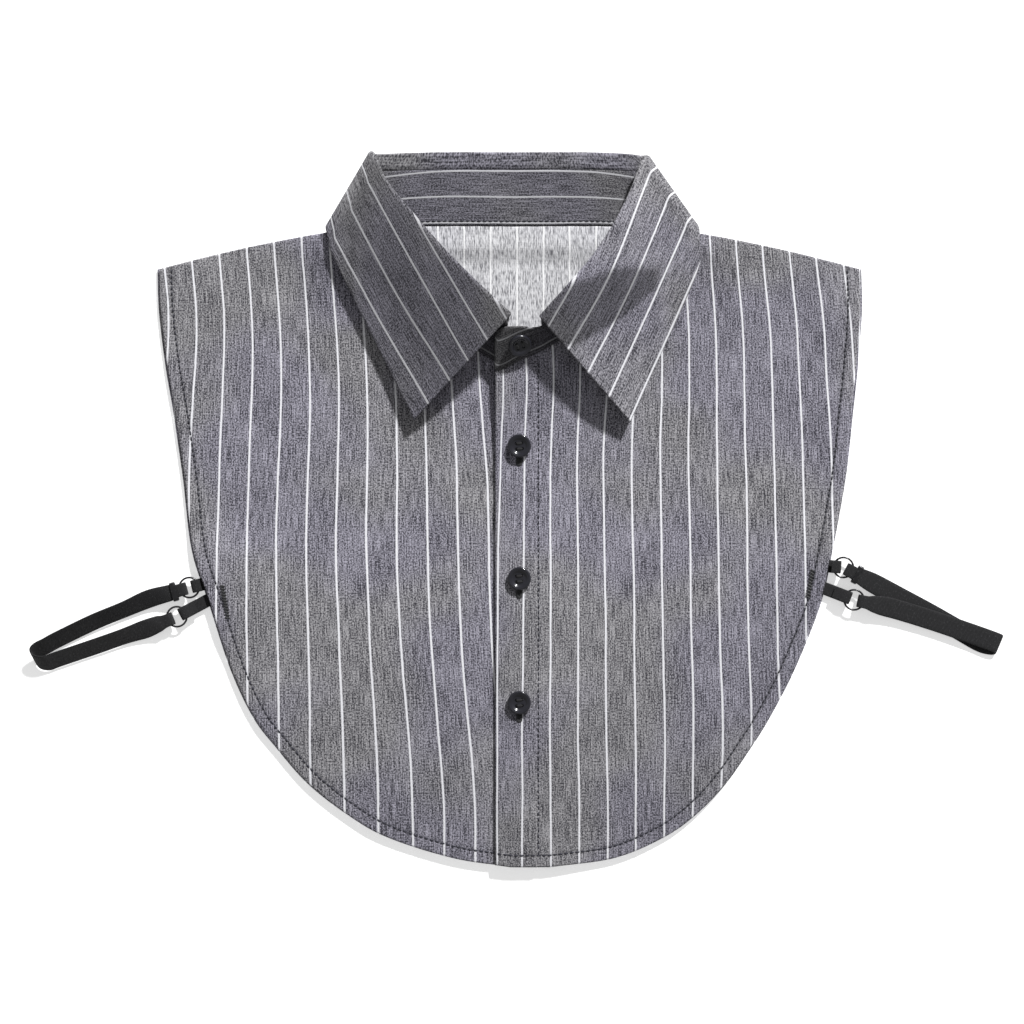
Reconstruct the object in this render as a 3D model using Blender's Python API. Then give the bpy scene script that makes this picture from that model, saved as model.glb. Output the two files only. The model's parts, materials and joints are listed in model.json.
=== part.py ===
"""Detachable shirt collar on a short bib, laid flat on its back with the collar towards +Y.

Metres, +Z up, the table at z = 0. The back of the bib lies lowest, the two front halves lie on
it, and the collar ring is flattened on its two corner creases: its back half lies on the table,
inner face up, and its front half lies over the neck hole.
"""

import math

import bmesh
import bpy
import numpy as np
from mathutils import Vector

# Bib
BIB_HALF_WIDTH = 0.1755
BIB_DROP = 0.2995
SHOULDER_RISE = 0.0185
NECK_CURVE = 0.0032
HEM_SHOW = 0.0012

# Collar ring, as half widths and drops of its crease axis
NECK_HALF = 0.083
NECK_DROP = 0.0732
ROLL_HALF = 0.067
ROLL_DROP = 0.082
EDGE_HALF = 0.0925
TIP_DROP = 0.0895
STAND_HEIGHT = 0.028
ROLL_RISE = 0.0073
LEAF_FALL = 0.0434
CREASE_RADIUS = 0.0028
FRONT_LIFT = 0.009
FRONT_ROLL = 0.003
ROLL_OPENS = 0.4
LEAF_CROWN = 0.0012

# Cloth and gaps
PANEL_CLOTH = 0.001
PLACKET_CLOTH = 0.0016
STAND_CLOTH = 0.0016
LEAF_CLOTH = 0.0014
GAP = 0.0003
SEAM_GAP = 0.0008

# Placket and buttons
PLACKET_EDGE = -0.0097
PLACKET_WIDTH = 0.0217
UNDERLAP = 0.0035
UNDERLAP_SLOPE = 1 / 3
BUTTON_X = PLACKET_EDGE + 0.557 * PLACKET_WIDTH
BUTTON_DROPS = (0.3686, 0.5900, 0.7970)  # shares of BIB_DROP
BUTTON_RADIUS = 0.0059
BUTTON_HEIGHT = 0.0026
BUTTON_DISH = 0.0008
HOLE_RADIUS = 0.0008
HOLE_SPREAD = 0.0016

# Elastic straps, rings and sliders
ELASTIC_WIDTH = 0.010
ELASTIC_THICK = 0.0008
TAB_WIDTH = 0.0064
TAB_LONG = 0.0212
TAB_SHORT = 0.0155
TAB_TAIL_LONG = 0.011
TAB_TAIL_SHORT = 0.0060
STRAP_TAIL = 0.014
STRAP_REACH = 0.09
STRAP_DROPS = {"left": 0.1625, "right": 0.1555}
NEAR_INSET = 0.0014
FAR_INSET = 0.0020
RING_RADIUS = 0.005
RING_WIRE = 0.0005
SLIDER_LENGTH = 0.0026
SLIDER_BAR = 0.0005
SLIDER_SQUEEZE = 0.82

CELL = 0.0145

# Surfaces: colour, roughness, metallic
CHAMBRAY = ((0.115, 0.115, 0.145), 0.85, 0.0)
ELASTIC_BLACK = ((0.018, 0.018, 0.020), 0.75, 0.0)
COATED_METAL = ((0.020, 0.020, 0.022), 0.35, 0.6)
BUTTON_BLACK = ((0.012, 0.012, 0.014), 0.18, 0.0)

# The length from the collar's roll line to the hem is centred on the origin.
ROLL_BULGE = (STAND_CLOTH + 2 * GAP + LEAF_CLOTH) / 4 + LEAF_CLOTH / 2
LENGTH = ROLL_BULGE + ROLL_RISE + STAND_HEIGHT + NECK_CURVE + SHOULDER_RISE + BIB_DROP
ROLL_Y = LENGTH / 2 - ROLL_BULGE
SEAM_Y = ROLL_Y - ROLL_RISE - STAND_HEIGHT
EDGE_Y = ROLL_Y - LEAF_FALL
SHOULDER_Y = SEAM_Y - NECK_CURVE - SHOULDER_RISE

# Levels of the flattened ring, from the table up
LEAF_OFFSET = (STAND_CLOTH + LEAF_CLOTH) / 2 + GAP
AXIS_Z = (LEAF_CLOTH + GAP) / 2 + LEAF_OFFSET + CREASE_RADIUS
BAND_SHARE = STAND_HEIGHT / (STAND_HEIGHT + ROLL_RISE)

# The elastics' loops lie one gap above the back panel.
LOOP_REACH = RING_WIRE + GAP + ELASTIC_THICK / 2
RING_HEIGHT = PANEL_CLOTH + GAP + ELASTIC_THICK / 2 + LOOP_REACH
RING_CLEAR = RING_RADIUS + RING_WIRE + GAP

# Outline of the bib: down as a share of BIB_DROP, left and right as shares of BIB_HALF_WIDTH
OUTLINE = (
    # down, left, right
    (0.000, 1.013, 0.984),
    (0.070, 1.009, 0.986),
    (0.160, 0.991, 0.975),
    (0.240, 0.968, 0.961),
    (0.350, 0.941, 0.940),
    (0.470, 0.916, 0.903),
    (0.560, 0.867, 0.869),
    (0.670, 0.806, 0.795),
    (0.750, 0.742, 0.725),
    (0.800, 0.678, 0.672),
    (0.860, 0.589, 0.601),
    (0.910, 0.482, 0.521),
    (0.950, 0.365, 0.427),
    (0.985, 0.177, 0.285),
    (1.000, 0.010, 0.100),
)

# Half the flattened collar ring, from the centre back round a corner crease to the centre front.
# turn is 0 on the back half and 1 on the front half. Outs and downs are shares of NECK, ROLL and
# EDGE_HALF and of NECK_DROP, ROLL_DROP and TIP_DROP, and lifts are shares of FRONT_LIFT.
LEFT_ROWS = (
    # turn, seam out, down, lift, roll out, down, lift, edge out, down, lift
    (0.0, 0.000, 0.000, 0.00, 0.000, 0.000, 0.00, 0.000, 0.000, 0.00),
    (0.0, 0.542, 0.001, 0.00, 0.582, 0.000, 0.00, 0.514, 0.000, 0.00),
    (0.0, 0.990, 0.030, 0.00, 1.000, 0.010, 0.00, 0.900, -0.010, 0.00),
    (0.5, 1.040, 0.030, 0.00, 1.020, 0.020, 0.00, 0.967, -0.060, 0.00),
    (1.0, 1.015, 0.077, -0.15, 1.019, 0.078, 0.05, 0.997, 0.028, -0.05),
    (1.0, 0.919, 0.180, -0.25, 0.948, 0.200, 0.30, 0.954, 0.140, -0.22),
    (1.0, 0.780, 0.351, -0.34, 0.769, 0.389, 0.60, 0.878, 0.299, -0.36),
    (1.0, 0.617, 0.515, -0.42, 0.582, 0.566, 0.82, 0.800, 0.464, -0.46),
    (1.0, 0.437, 0.679, -0.48, 0.396, 0.724, 0.93, 0.716, 0.637, -0.50),
    (1.0, 0.256, 0.829, -0.54, 0.209, 0.871, 0.99, 0.630, 0.816, -0.46),
    (1.0, 0.087, 0.945, -0.59, 0.037, 1.000, 0.99, 0.543, 1.000, -0.36),
)
RIGHT_ROWS = (
    # turn, seam out, down, lift, roll out, down, lift, edge out, down, lift
    (0.0, 0.000, 0.000, 0.00, 0.000, 0.000, 0.00, 0.000, 0.000, 0.00),
    (0.0, 0.542, 0.001, 0.00, 0.560, 0.000, 0.00, 0.514, 0.000, 0.00),
    (0.0, 0.943, 0.026, 0.00, 0.907, 0.014, 0.00, 0.868, -0.010, 0.00),
    (0.5, 0.991, 0.023, 0.00, 0.944, 0.048, 0.00, 0.938, -0.061, 0.00),
    (1.0, 0.979, 0.070, -0.15, 0.937, 0.090, 0.05, 1.003, 0.045, -0.05),
    (1.0, 0.900, 0.180, -0.22, 0.884, 0.230, 0.30, 0.986, 0.168, -0.22),
    (1.0, 0.762, 0.364, -0.24, 0.757, 0.444, 0.60, 0.922, 0.335, -0.36),
    (1.0, 0.605, 0.528, -0.24, 0.593, 0.651, 0.82, 0.846, 0.506, -0.46),
    (1.0, 0.455, 0.658, -0.22, 0.459, 0.779, 0.93, 0.770, 0.676, -0.50),
    (1.0, 0.310, 0.761, -0.19, 0.325, 0.901, 0.99, 0.697, 0.844, -0.46),
    (1.0, 0.172, 0.850, -0.17, 0.198, 1.017, 0.99, 0.624, 1.011, -0.36),
)
RING_STEPS = (3, 3, 4, 4, 2, 2, 2, 2, 2, 2)
LEAF_COLUMNS = (0.2, 0.42, 0.68, 1.0)

# Ends of the stand past its last ring row: seam and top edge, outs and downs as shares of
# NECK_HALF and NECK_DROP, lifts as shares of FRONT_LIFT. The upper end has a rounded corner.
UNDER_END = (
    # seam out, down, lift, top out, down, lift
    (-0.033, 0.993, -0.66, -0.051, 0.733, 0.32),
)
UPPER_END = (
    # seam out, down, lift, top out, down, lift
    (0.027, 0.925, -0.16, 0.027, 0.699, 0.81),
    (-0.060, 0.978, -0.17, -0.060, 0.705, 0.86),
    (-0.105, 0.992, -0.15, -0.100, 0.726, 0.80),
    (-0.120, 0.962, -0.08, -0.120, 0.782, 0.64),
)

# Ring centres as shares of STRAP_REACH out and up from the strap's place on the side edge, the
# way each tab leaves its ring towards the bib, the tab's length and its tail, and how far the
# elastic's loops stay from the ring's centre
RINGS = {
    # name: out, up, towards bib x, y, tab length, tail, inset
    "left_front": (0.099, 0.033, 0.970, 0.243, TAB_SHORT, TAB_TAIL_SHORT, NEAR_INSET),
    "left_back": (0.168, -0.129, 0.883, 0.470, TAB_LONG, TAB_TAIL_LONG, FAR_INSET),
    "right_front": (0.100, 0.067, -0.996, 0.085, TAB_SHORT, TAB_TAIL_SHORT, NEAR_INSET),
    "right_back": (0.159, -0.113, -0.932, 0.362, TAB_LONG, TAB_TAIL_LONG, FAR_INSET),
}

# Free runs of the straps between their two ring loops: the elastic's middle line, out and up as
# shares of STRAP_REACH and height as a share of ELASTIC_WIDTH, and how far its upper edge leans
# over, from 0, lying flat, to 1, leaning by STRAP_LEAN
STRAP_LEAN = math.radians(38)
LEFT_SIDE = (-0.35, 0.937)
RIGHT_SIDE = (0.39, 0.92)
LEFT_RUN = (
    # out, up, height, lean
    (0.321, -0.029, 0.36, 0.7),
    (0.460, -0.089, 0.38, 1.0),
    (0.632, -0.160, 0.36, 1.0),
    (0.834, -0.258, 0.36, 1.0),
    (0.890, -0.289, 0.36, 1.0),
    (0.946, -0.319, 0.36, 1.0),
    (0.966, -0.351, 0.36, 1.0),
    (0.941, -0.381, 0.36, 1.0),
    (0.890, -0.387, 0.36, 1.0),
    (0.834, -0.367, 0.36, 1.0),
    (0.610, -0.291, 0.36, 1.0),
    (0.460, -0.238, 0.38, 1.0),
    (0.343, -0.198, 0.36, 0.6),
)
RIGHT_RUN = (
    # out, up, height, lean
    (0.272, -0.024, 0.26, 0.0),
    (0.428, -0.106, 0.09, 0.0),
    (0.583, -0.189, 0.05, 0.0),
    (0.724, -0.269, 0.05, 0.0),
    (0.861, -0.347, 0.05, 0.0),
    (0.939, -0.369, 0.06, 0.0),
    (0.969, -0.363, 0.14, 0.0),
    (0.939, -0.347, 0.23, 0.0),
    (0.808, -0.300, 0.20, 0.0),
    (0.611, -0.233, 0.19, 0.0),
    (0.428, -0.176, 0.22, 0.0),
    (0.328, -0.149, 0.27, 0.0),
)

# Vertical room between back and front for a tab, round where the tabs go in
TAB_ROOM = 0.0013
TAB_PATCH = 0.016
TAB_PATCH_FADE = 0.022

# How the cloth falls from the raised neck seam to the table
NECK_SPREAD = 0.026
CORNER_LIFT = 0.0015
LEAF_RAMP = 0.012
LAP_FADE = 0.030
SHOULDER_BOW = 0.0015


def clear_scene():
    for obj in list(bpy.data.objects):
        bpy.data.objects.remove(obj, do_unlink=True)


def material(name, colour, roughness, metallic):
    made = bpy.data.materials.new(name)
    made.use_nodes = True
    shader = made.node_tree.nodes["Principled BSDF"]
    shader.inputs["Base Color"].default_value = (*colour, 1.0)
    shader.inputs["Roughness"].default_value = roughness
    shader.inputs["Metallic"].default_value = metallic
    made.diffuse_color = (*colour, 1.0)
    return made


def smooth_rows(rows, steps):
    """Rows joined by a smooth curve through each, with steps[i] parts between rows i and i + 1."""
    rows = np.array(rows, float)
    ends = np.vstack([2 * rows[0] - rows[1], rows, 2 * rows[-1] - rows[-2]])
    found = []
    for i, count in enumerate(steps):
        before, start, end, after = ends[i : i + 4]
        for t in np.arange(count) / count:
            found.append(
                start
                + 0.5 * t * (end - before)
                + t * t * (before - 2.5 * start + 2 * end - 0.5 * after)
                + t**3 * (1.5 * (start - end) + 0.5 * (after - before))
            )
    return np.vstack([*found, rows[-1]])


def unit(vectors):
    return vectors / np.linalg.norm(vectors, axis=-1, keepdims=True)


def ease(value):
    """0 below 0, 1 above 1, and smooth between."""
    value = np.clip(value, 0.0, 1.0)
    return value * value * (3 - 2 * value)


def link_mesh(name, bm, surface):
    bmesh.ops.recalc_face_normals(bm, faces=bm.faces)
    mesh = bpy.data.meshes.new(name)
    bm.to_mesh(mesh)
    bm.free()
    mesh.shade_smooth()
    mesh.set_sharp_from_angle(angle=math.radians(40))
    mesh.materials.append(material(name, *surface))
    obj = bpy.data.objects.new(name, mesh)
    bpy.context.scene.collection.objects.link(obj)
    return obj


def cloth_from_grid(name, middle, cloth, surface):
    """A closed wall of the given thickness round a grid of points on its middle surface."""
    normals = unit(np.cross(np.gradient(middle, axis=0), np.gradient(middle, axis=1)))
    bm = bmesh.new()
    sides = []
    for offset in (-cloth / 2, cloth / 2):
        points = middle + offset * normals
        sides.append([[bm.verts.new(point) for point in row] for row in points])
    rows, columns = middle.shape[:2]
    for side in sides:
        for i in range(rows - 1):
            for j in range(columns - 1):
                bm.faces.new((side[i][j], side[i + 1][j], side[i + 1][j + 1], side[i][j + 1]))
    low, high = sides
    border = [(i, 0) for i in range(rows)]
    border += [(rows - 1, j) for j in range(1, columns)]
    border += [(i, columns - 1) for i in range(rows - 2, -1, -1)]
    border += [(0, j) for j in range(columns - 2, 0, -1)]
    for (i, j), (k, m) in zip(border, border[1:] + border[:1]):
        bm.faces.new((low[i][j], low[k][m], high[k][m], high[i][j]))
    return link_mesh(name, bm, surface)


def cut_along(bm, place, normal):
    geometry = bm.verts[:] + bm.edges[:] + bm.faces[:]
    bmesh.ops.bisect_plane(bm, geom=geometry, dist=CELL / 40, plane_co=place, plane_no=normal)


def panel(name, outline, bottom, cloth, surface, folds=()):
    """A flat-cut panel: its outline cut into cells, set at a height and given its thickness."""
    outline = np.array(outline)
    bm = bmesh.new()
    bm.faces.new([bm.verts.new((x, y, 0)) for x, y in outline])
    for axis, normal in ((0, (1, 0, 0)), (1, (0, 1, 0))):
        first, last = outline[:, axis].min() / CELL, outline[:, axis].max() / CELL
        for k in range(math.ceil(first), math.floor(last) + 1):
            cut_along(bm, [k * CELL * part for part in normal], normal)
    for place, normal in folds:
        cut_along(bm, place, normal)
    lower = bm.faces[:]
    made = bmesh.ops.extrude_face_region(bm, geom=lower, use_keep_orig=True)
    upper = [item for item in made["geom"] if isinstance(item, bmesh.types.BMVert)]
    plan = np.array([vert.co[:2] for vert in bm.verts])
    heights = dict(zip(bm.verts, bottom(plan)))
    depths = dict(zip(bm.verts, cloth(plan)))
    for vert, height in heights.items():
        vert.co.z = height
    for vert in upper:
        vert.co.z += depths[vert]
    bmesh.ops.triangulate(bm, faces=bm.faces)
    return link_mesh(name, bm, surface)


def ring_rows():
    """Rows of the whole ring from the left centre front round the back to the right one."""
    rows = []
    for side, table in ((-1, LEFT_ROWS[:0:-1]), (1, RIGHT_ROWS)):
        for turn, s_out, s_down, s_lift, r_out, r_down, r_lift, e_out, e_down, e_lift in table:
            seam = (side * s_out * NECK_HALF, SEAM_Y - s_down * NECK_DROP, s_lift * FRONT_LIFT)
            roll = (side * r_out * ROLL_HALF, ROLL_Y - r_down * ROLL_DROP, r_lift * FRONT_LIFT)
            edge = (side * e_out * EDGE_HALF, EDGE_Y - e_down * TIP_DROP, e_lift * FRONT_LIFT)
            open_share = max(0.0, r_down)
            rows.append((turn, side, *seam, *roll, *edge, open_share))
    return rows


def ring_stations():
    """The seam, roll and leaf edge of the stand's middle surface, the way out, and the leaf's offset."""
    steps = RING_STEPS[::-1] + RING_STEPS
    keys = np.array(ring_rows())
    rows = smooth_rows(keys, steps)
    places = np.concatenate([i + np.arange(n) / n for i, n in enumerate(steps)] + [[len(steps)]])
    turn = np.interp(places, np.arange(len(keys)), keys[:, 0])
    side = np.where(places < len(steps) / 2, -1.0, 1.0)
    seam, roll, edge = rows[:, 2:5], rows[:, 5:8], rows[:, 8:11]
    up = unit((roll - seam)[:, :2])
    out = np.column_stack([up[:, 1], -up[:, 0], np.zeros(len(up))]) * side[:, None]
    swing = np.sin(math.pi * turn)[:, None]
    way = out * swing - np.array([0, 0, 1.0]) * np.cos(math.pi * turn)[:, None]
    opened = np.clip(rows[:, 11] / ROLL_OPENS, 0, 1)
    offset = LEAF_OFFSET + (FRONT_ROLL - LEAF_OFFSET) * opened
    base = CREASE_RADIUS * way + np.array([0, 0, AXIS_Z])
    return seam + base, roll + base, edge + base, way, offset[:, None]


def stand_middle():
    """The stand's middle surface, with its lower end under and its upper end over at the front."""
    seam, roll, _, _, _ = ring_stations()
    top = seam + (roll - seam) * BAND_SHARE
    ends = []
    for table in (UNDER_END, UPPER_END):
        rows = []
        for s_out, s_down, s_lift, t_out, t_down, t_lift in table:
            level = AXIS_Z + CREASE_RADIUS
            low = (s_out * NECK_HALF, SEAM_Y - s_down * NECK_DROP, level + s_lift * FRONT_LIFT)
            high = (t_out * NECK_HALF, SEAM_Y - t_down * NECK_DROP, level + t_lift * FRONT_LIFT)
            rows.append((low, high))
        ends.append(np.array(rows))
    under = ends[0] * np.array([-1, 1, 1])
    seam = np.vstack([under[::-1, 0], seam, ends[1][:, 0]])
    top = np.vstack([under[::-1, 1], top, ends[1][:, 1]])
    shares = np.linspace(0, 1, 4)[None, :, None]
    return seam[:, None] * (1 - shares) + top[:, None] * shares


def leaf_middle():
    """The leaf's middle surface: up from the stand, over the roll and down to its outer edge."""
    seam, roll, edge, way, offset = ring_stations()
    start = seam + (roll - seam) * BAND_SHARE
    up = unit(roll - seam)
    start = start + up * GAP
    fall = edge + way * offset
    crest = roll + way * offset
    down = unit(fall - crest)
    columns = [start]
    for angle in np.linspace(0, math.pi, 6):
        blend = unit(up * (1 - angle / math.pi) - down * (angle / math.pi))
        columns.append(
            roll + way * offset / 2 * (1 - math.cos(angle)) + blend * offset / 2 * math.sin(angle)
        )
    on_front = way[:, 2:] > 0.99
    for share in LEAF_COLUMNS:
        crown = LEAF_CROWN * math.sin(math.pi * share) * on_front
        columns.append(crest + (fall - crest) * share + way * crown)
    return np.stack(columns, axis=1)


def outline_side(column):
    """The bib's side edge and hem on one side, from the shoulder tip to the hem's middle."""
    rows = smooth_rows([(row[0], row[column]) for row in OUTLINE], [2] * (len(OUTLINE) - 1))
    side = -1 if column == 1 else 1
    return [(side * half * BIB_HALF_WIDTH, SHOULDER_Y - down * BIB_DROP) for down, half in rows]


def strap_place(side, out=0.0, up=0.0):
    """Where a strap leaves the side edge, or a point out and up from there."""
    edge = outline_side(1 if side == "left" else 2)[::-1]
    y = SHOULDER_Y - STRAP_DROPS[side]
    x = np.interp(y, [p[1] for p in edge], [p[0] for p in edge])
    return np.array([x + math.copysign(out * STRAP_REACH, x), y + up * STRAP_REACH])


def ring_place(name):
    return strap_place(name.split("_")[0], *RINGS[name][:2])


def shoulder(neck_point, tip):
    """Points from the neck point to the shoulder tip on a slight bow, without its ends."""
    start, end = np.array(neck_point), np.array(tip)
    shares = np.arange(1, 5) / 5
    bow = SHOULDER_BOW * np.sin(math.pi * shares)
    return [tuple(start + (end - start) * t + (0, b)) for t, b in zip(shares, bow)]


def neck_seams():
    """The seam line of the left front, the back and the right front, as points of the stand's foot."""
    foot = stand_middle()[:, 0]
    seam, _, _, way, _ = ring_stations()
    first = len(UNDER_END)
    creases = [first + i for i in (int(way[:, 0].argmin()), int(way[:, 0].argmax()))]
    left = foot[: creases[0] + 1][::-1]
    back = foot[creases[0] : creases[1] + 1]
    right = foot[creases[1] :]
    return left, back, right


def pushed_out(seam, side):
    """The seam line in plan, moved off the stand's foot by the seam gap."""
    plan = seam[:, :2]
    along = unit(np.gradient(plan, axis=0))
    across = np.column_stack([along[:, 1], -along[:, 0]]) * side
    return plan + across * SEAM_GAP


def neck_point(side):
    """Where the shoulder line meets the neck, just outside the stand's crease."""
    left, _, right = neck_seams()
    crease = left[0] if side < 0 else right[0]
    return (crease[0] + side * (STAND_CLOTH / 2 + SEAM_GAP), SEAM_Y - NECK_CURVE)


def near_line(plan, line):
    """For each point in plan, its distance to a line of 3-D points and the line's height there."""
    best = np.full(len(plan), np.inf)
    height = np.zeros(len(plan))
    for start, end in zip(line[:-1], line[1:]):
        run = (end - start)[:2]
        share = np.clip(((plan - start[:2]) @ run) / (run @ run), 0, 1)
        gap = np.linalg.norm(plan - (start[:2] + share[:, None] * run), axis=1)
        closer = gap < best
        best = np.where(closer, gap, best)
        height = np.where(closer, start[2] + share * (end[2] - start[2]), height)
    return best, height


def back_bottom(plan):
    """The back lies on the table, and rises over the leaf's back half and to the neck points."""
    x, y = plan[:, 0], plan[:, 1]
    over_leaf = ease((y - EDGE_Y + LEAF_RAMP + SEAM_GAP) / LEAF_RAMP)
    over_leaf = over_leaf * (1 - ease((np.abs(x) - EDGE_HALF) / NECK_SPREAD))
    height = (LEAF_CLOTH + 2 * GAP) * over_leaf
    for side in (-1, 1):
        away = np.linalg.norm(plan - neck_point(side), axis=1)
        height = height + CORNER_LIFT * np.exp(-((away / NECK_SPREAD) ** 2))
    return height


def front_base(plan, lap):
    """The lowest a front half may lie: on the back, the tabs and, by lap, the other half."""
    height = back_bottom(plan) + PANEL_CLOTH + GAP
    for side in STRAP_DROPS:
        away = np.linalg.norm(plan - strap_place(side), axis=1)
        height = height + TAB_ROOM * (1 - ease((away - TAB_PATCH) / TAB_PATCH_FADE))
    reach = PLACKET_EDGE + PLACKET_WIDTH + UNDERLAP
    return height + lap * (1 - ease((plan[:, 0] - reach) / LAP_FADE))


def front_bottom(seam, cloth, lap):
    """A front half's lower face: its base, raised to the stand's foot along the neck."""

    def bottom(plan):
        base = front_base(plan, lap)
        away, foot = near_line(plan, seam)
        raised = np.maximum(foot - cloth / 2 - base, 0)
        return base + raised * np.exp(-((away / NECK_SPREAD) ** 2))

    return bottom


def even(cloth):
    return lambda plan: np.full(len(plan), cloth)


def placket_cloth(plan):
    folded = plan[:, 0] < PLACKET_EDGE + PLACKET_WIDTH + GAP / 2
    return np.where(folded, PLACKET_CLOTH, PANEL_CLOTH)


def hem_height(x):
    """The hem's y at x, near the bottom middle."""
    points = outline_side(1) + outline_side(2)[::-1]
    low = sorted(p for p in points if p[1] < SHOULDER_Y - 0.85 * BIB_DROP)
    return float(np.interp(x, [p[0] for p in low], [p[1] for p in low]))


def build_bib(cloth_surface):
    left, back, right = neck_seams()
    tips = [outline_side(1), outline_side(2)]
    necks = [neck_point(-1), neck_point(1)]

    neck = [p for p in pushed_out(back, 1) if necks[0][0] + SEAM_GAP < p[0] < necks[1][0] - SEAM_GAP]
    line = [necks[0], *neck, necks[1]]
    line += shoulder(necks[1], tips[1][0])
    line += [(x * (1 + HEM_SHOW / BIB_HALF_WIDTH), y) for x, y in tips[1]]
    line += [(x * (1 + HEM_SHOW / BIB_HALF_WIDTH), y) for x, y in tips[0][::-1]]
    line += shoulder(necks[0], tips[0][0])[::-1]
    raised = EDGE_Y - SEAM_GAP
    folds = [((0, y, 0), (0, 1, 0)) for y in (raised, raised - LEAF_RAMP)]
    panel("back_panel", line, back_bottom, even(PANEL_CLOTH), cloth_surface, folds)

    edge = PLACKET_EDGE + PLACKET_WIDTH + UNDERLAP
    neck = list(pushed_out(left, 1))
    foot = (edge, neck[-1][1] - (edge - neck[-1][0]) * UNDERLAP_SLOPE)
    line = [necks[0], *neck[1:], foot, (edge, hem_height(edge))]
    line += [p for p in outline_side(2)[::-1] if p[0] < edge - CELL / 8]
    line += outline_side(1)[::-1]
    line += shoulder(necks[0], tips[0][0])[::-1]
    bottom = front_bottom(left, PANEL_CLOTH, 0.0)
    panel("front_under", line, bottom, even(PANEL_CLOTH), cloth_surface)

    foot = pushed_out(right, -1)
    neck = [p for p in foot if p[0] > PLACKET_EDGE + CELL / 8]
    line = [necks[1], *neck[1:], (PLACKET_EDGE, foot[:, 1].min())]
    line += [(PLACKET_EDGE, hem_height(PLACKET_EDGE))]
    line += [p for p in outline_side(1)[::-1] if p[0] > PLACKET_EDGE + CELL / 8][::-1]
    line += outline_side(2)[::-1]
    line += shoulder(necks[1], tips[1][0])[::-1]
    bottom = front_bottom(right, PLACKET_CLOTH, PANEL_CLOTH + GAP)
    fold = PLACKET_EDGE + PLACKET_WIDTH
    folds = [((x, 0, 0), (1, 0, 0)) for x in (fold, fold + GAP)]
    panel("front_over", line, bottom, placket_cloth, cloth_surface, folds)
    return bottom


def build_collar(cloth_surface):
    cloth_from_grid("collar_stand", stand_middle(), STAND_CLOTH, cloth_surface)
    cloth_from_grid("collar_leaf", leaf_middle(), LEAF_CLOTH, cloth_surface)


def ribbon(name, rows, surface):
    """A flat elastic: rows of its middle line and of half its width as a vector."""
    rows = np.array(rows)
    middle = np.stack([rows[:, :3] - rows[:, 3:], rows[:, :3] + rows[:, 3:]], axis=1)
    return cloth_from_grid(name, middle, ELASTIC_THICK, surface)


def loop_profile(inset):
    """Round a ring's wire, from below to above: distances from the ring's centre, and heights."""
    turns = np.linspace(-math.pi / 2, math.pi / 2, 6)
    bend = [(inset + LOOP_REACH * (1 - math.cos(a)), LOOP_REACH * math.sin(a)) for a in turns]
    return [(RING_CLEAR, -LOOP_REACH), *bend, (RING_CLEAR, LOOP_REACH)]


def placed(centre, way, profile, half_widths):
    """Rows of a ribbon whose profile stands on the line from a ring's centre along way."""
    way = unit(np.array(way, float))
    across = np.array([-way[1], way[0], 0.0])
    across = across if across[1] > 0 else -across
    rows = []
    for (along, height), half in zip(profile, half_widths):
        spot = (centre[0] + way[0] * along, centre[1] + way[1] * along, RING_HEIGHT + height)
        rows.append((*spot, *(across * half)))
    return rows


def build_tab(name, surface):
    way_x, way_y, length, tail, inset = RINGS[name][2:]
    profile = [(length, -LOOP_REACH), *loop_profile(inset)]
    settle = RING_CLEAR + 2 * ELASTIC_THICK
    upper = ELASTIC_THICK + 2 * GAP - LOOP_REACH
    if tail > settle:
        profile += [(settle, (LOOP_REACH + upper) / 2), (tail, upper)]
    else:
        profile += [(tail, LOOP_REACH)]
    rows = placed(ring_place(name), (way_x, way_y), profile, [TAB_WIDTH / 2] * len(profile))
    ribbon(name + "_tab", rows, surface)


def strap_loop(name, run_start):
    """Rows from the strap's tail round the ring's wire to where the free run begins."""
    centre, inset = ring_place(name), RINGS[name][-1]
    way = run_start - centre
    top = LOOP_REACH - GAP
    profile = [(STRAP_TAIL, -LOOP_REACH), *loop_profile(inset), (RING_CLEAR + ELASTIC_THICK, top)]
    profile += [(RING_CLEAR + ELASTIC_THICK + SLIDER_LENGTH, top)]
    narrow, wide = TAB_WIDTH / 2, ELASTIC_WIDTH / 2
    squeezed = wide * SLIDER_SQUEEZE
    halves = [squeezed] + [narrow] * (len(profile) - 2) + [squeezed]
    return placed(centre, way, profile, halves)


def build_strap(side, run, across, surface):
    places = [strap_place(side, out, up) for out, up, _, _ in run]
    first = strap_loop(side + "_front", places[0])
    last = strap_loop(side + "_back", places[-1])[::-1]
    rows = []
    for (x, y), (_, _, height, lean) in zip(places, run):
        angle = STRAP_LEAN * lean
        flat = math.cos(angle) * ELASTIC_WIDTH / 2
        rise = math.sin(angle) * ELASTIC_WIDTH / 2
        rows.append((x, y, height * ELASTIC_WIDTH, across[0] * flat, across[1] * flat, rise))
    free = smooth_rows([first[-1], *rows, last[0]], [2] * (len(rows) + 1))
    ribbon(side + "_strap", [*first[:-1], *free, *last[1:]], surface)


def build_rings(surface):
    for name in RINGS:
        bpy.ops.mesh.primitive_torus_add(
            location=(*ring_place(name), RING_HEIGHT),
            major_radius=RING_RADIUS,
            minor_radius=RING_WIRE,
            major_segments=18,
            minor_segments=6,
        )
        obj = bpy.context.object
        obj.name = obj.data.name = name + "_ring"
        obj.data.shade_smooth()
        obj.data.materials.append(material(obj.name, *surface))


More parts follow.
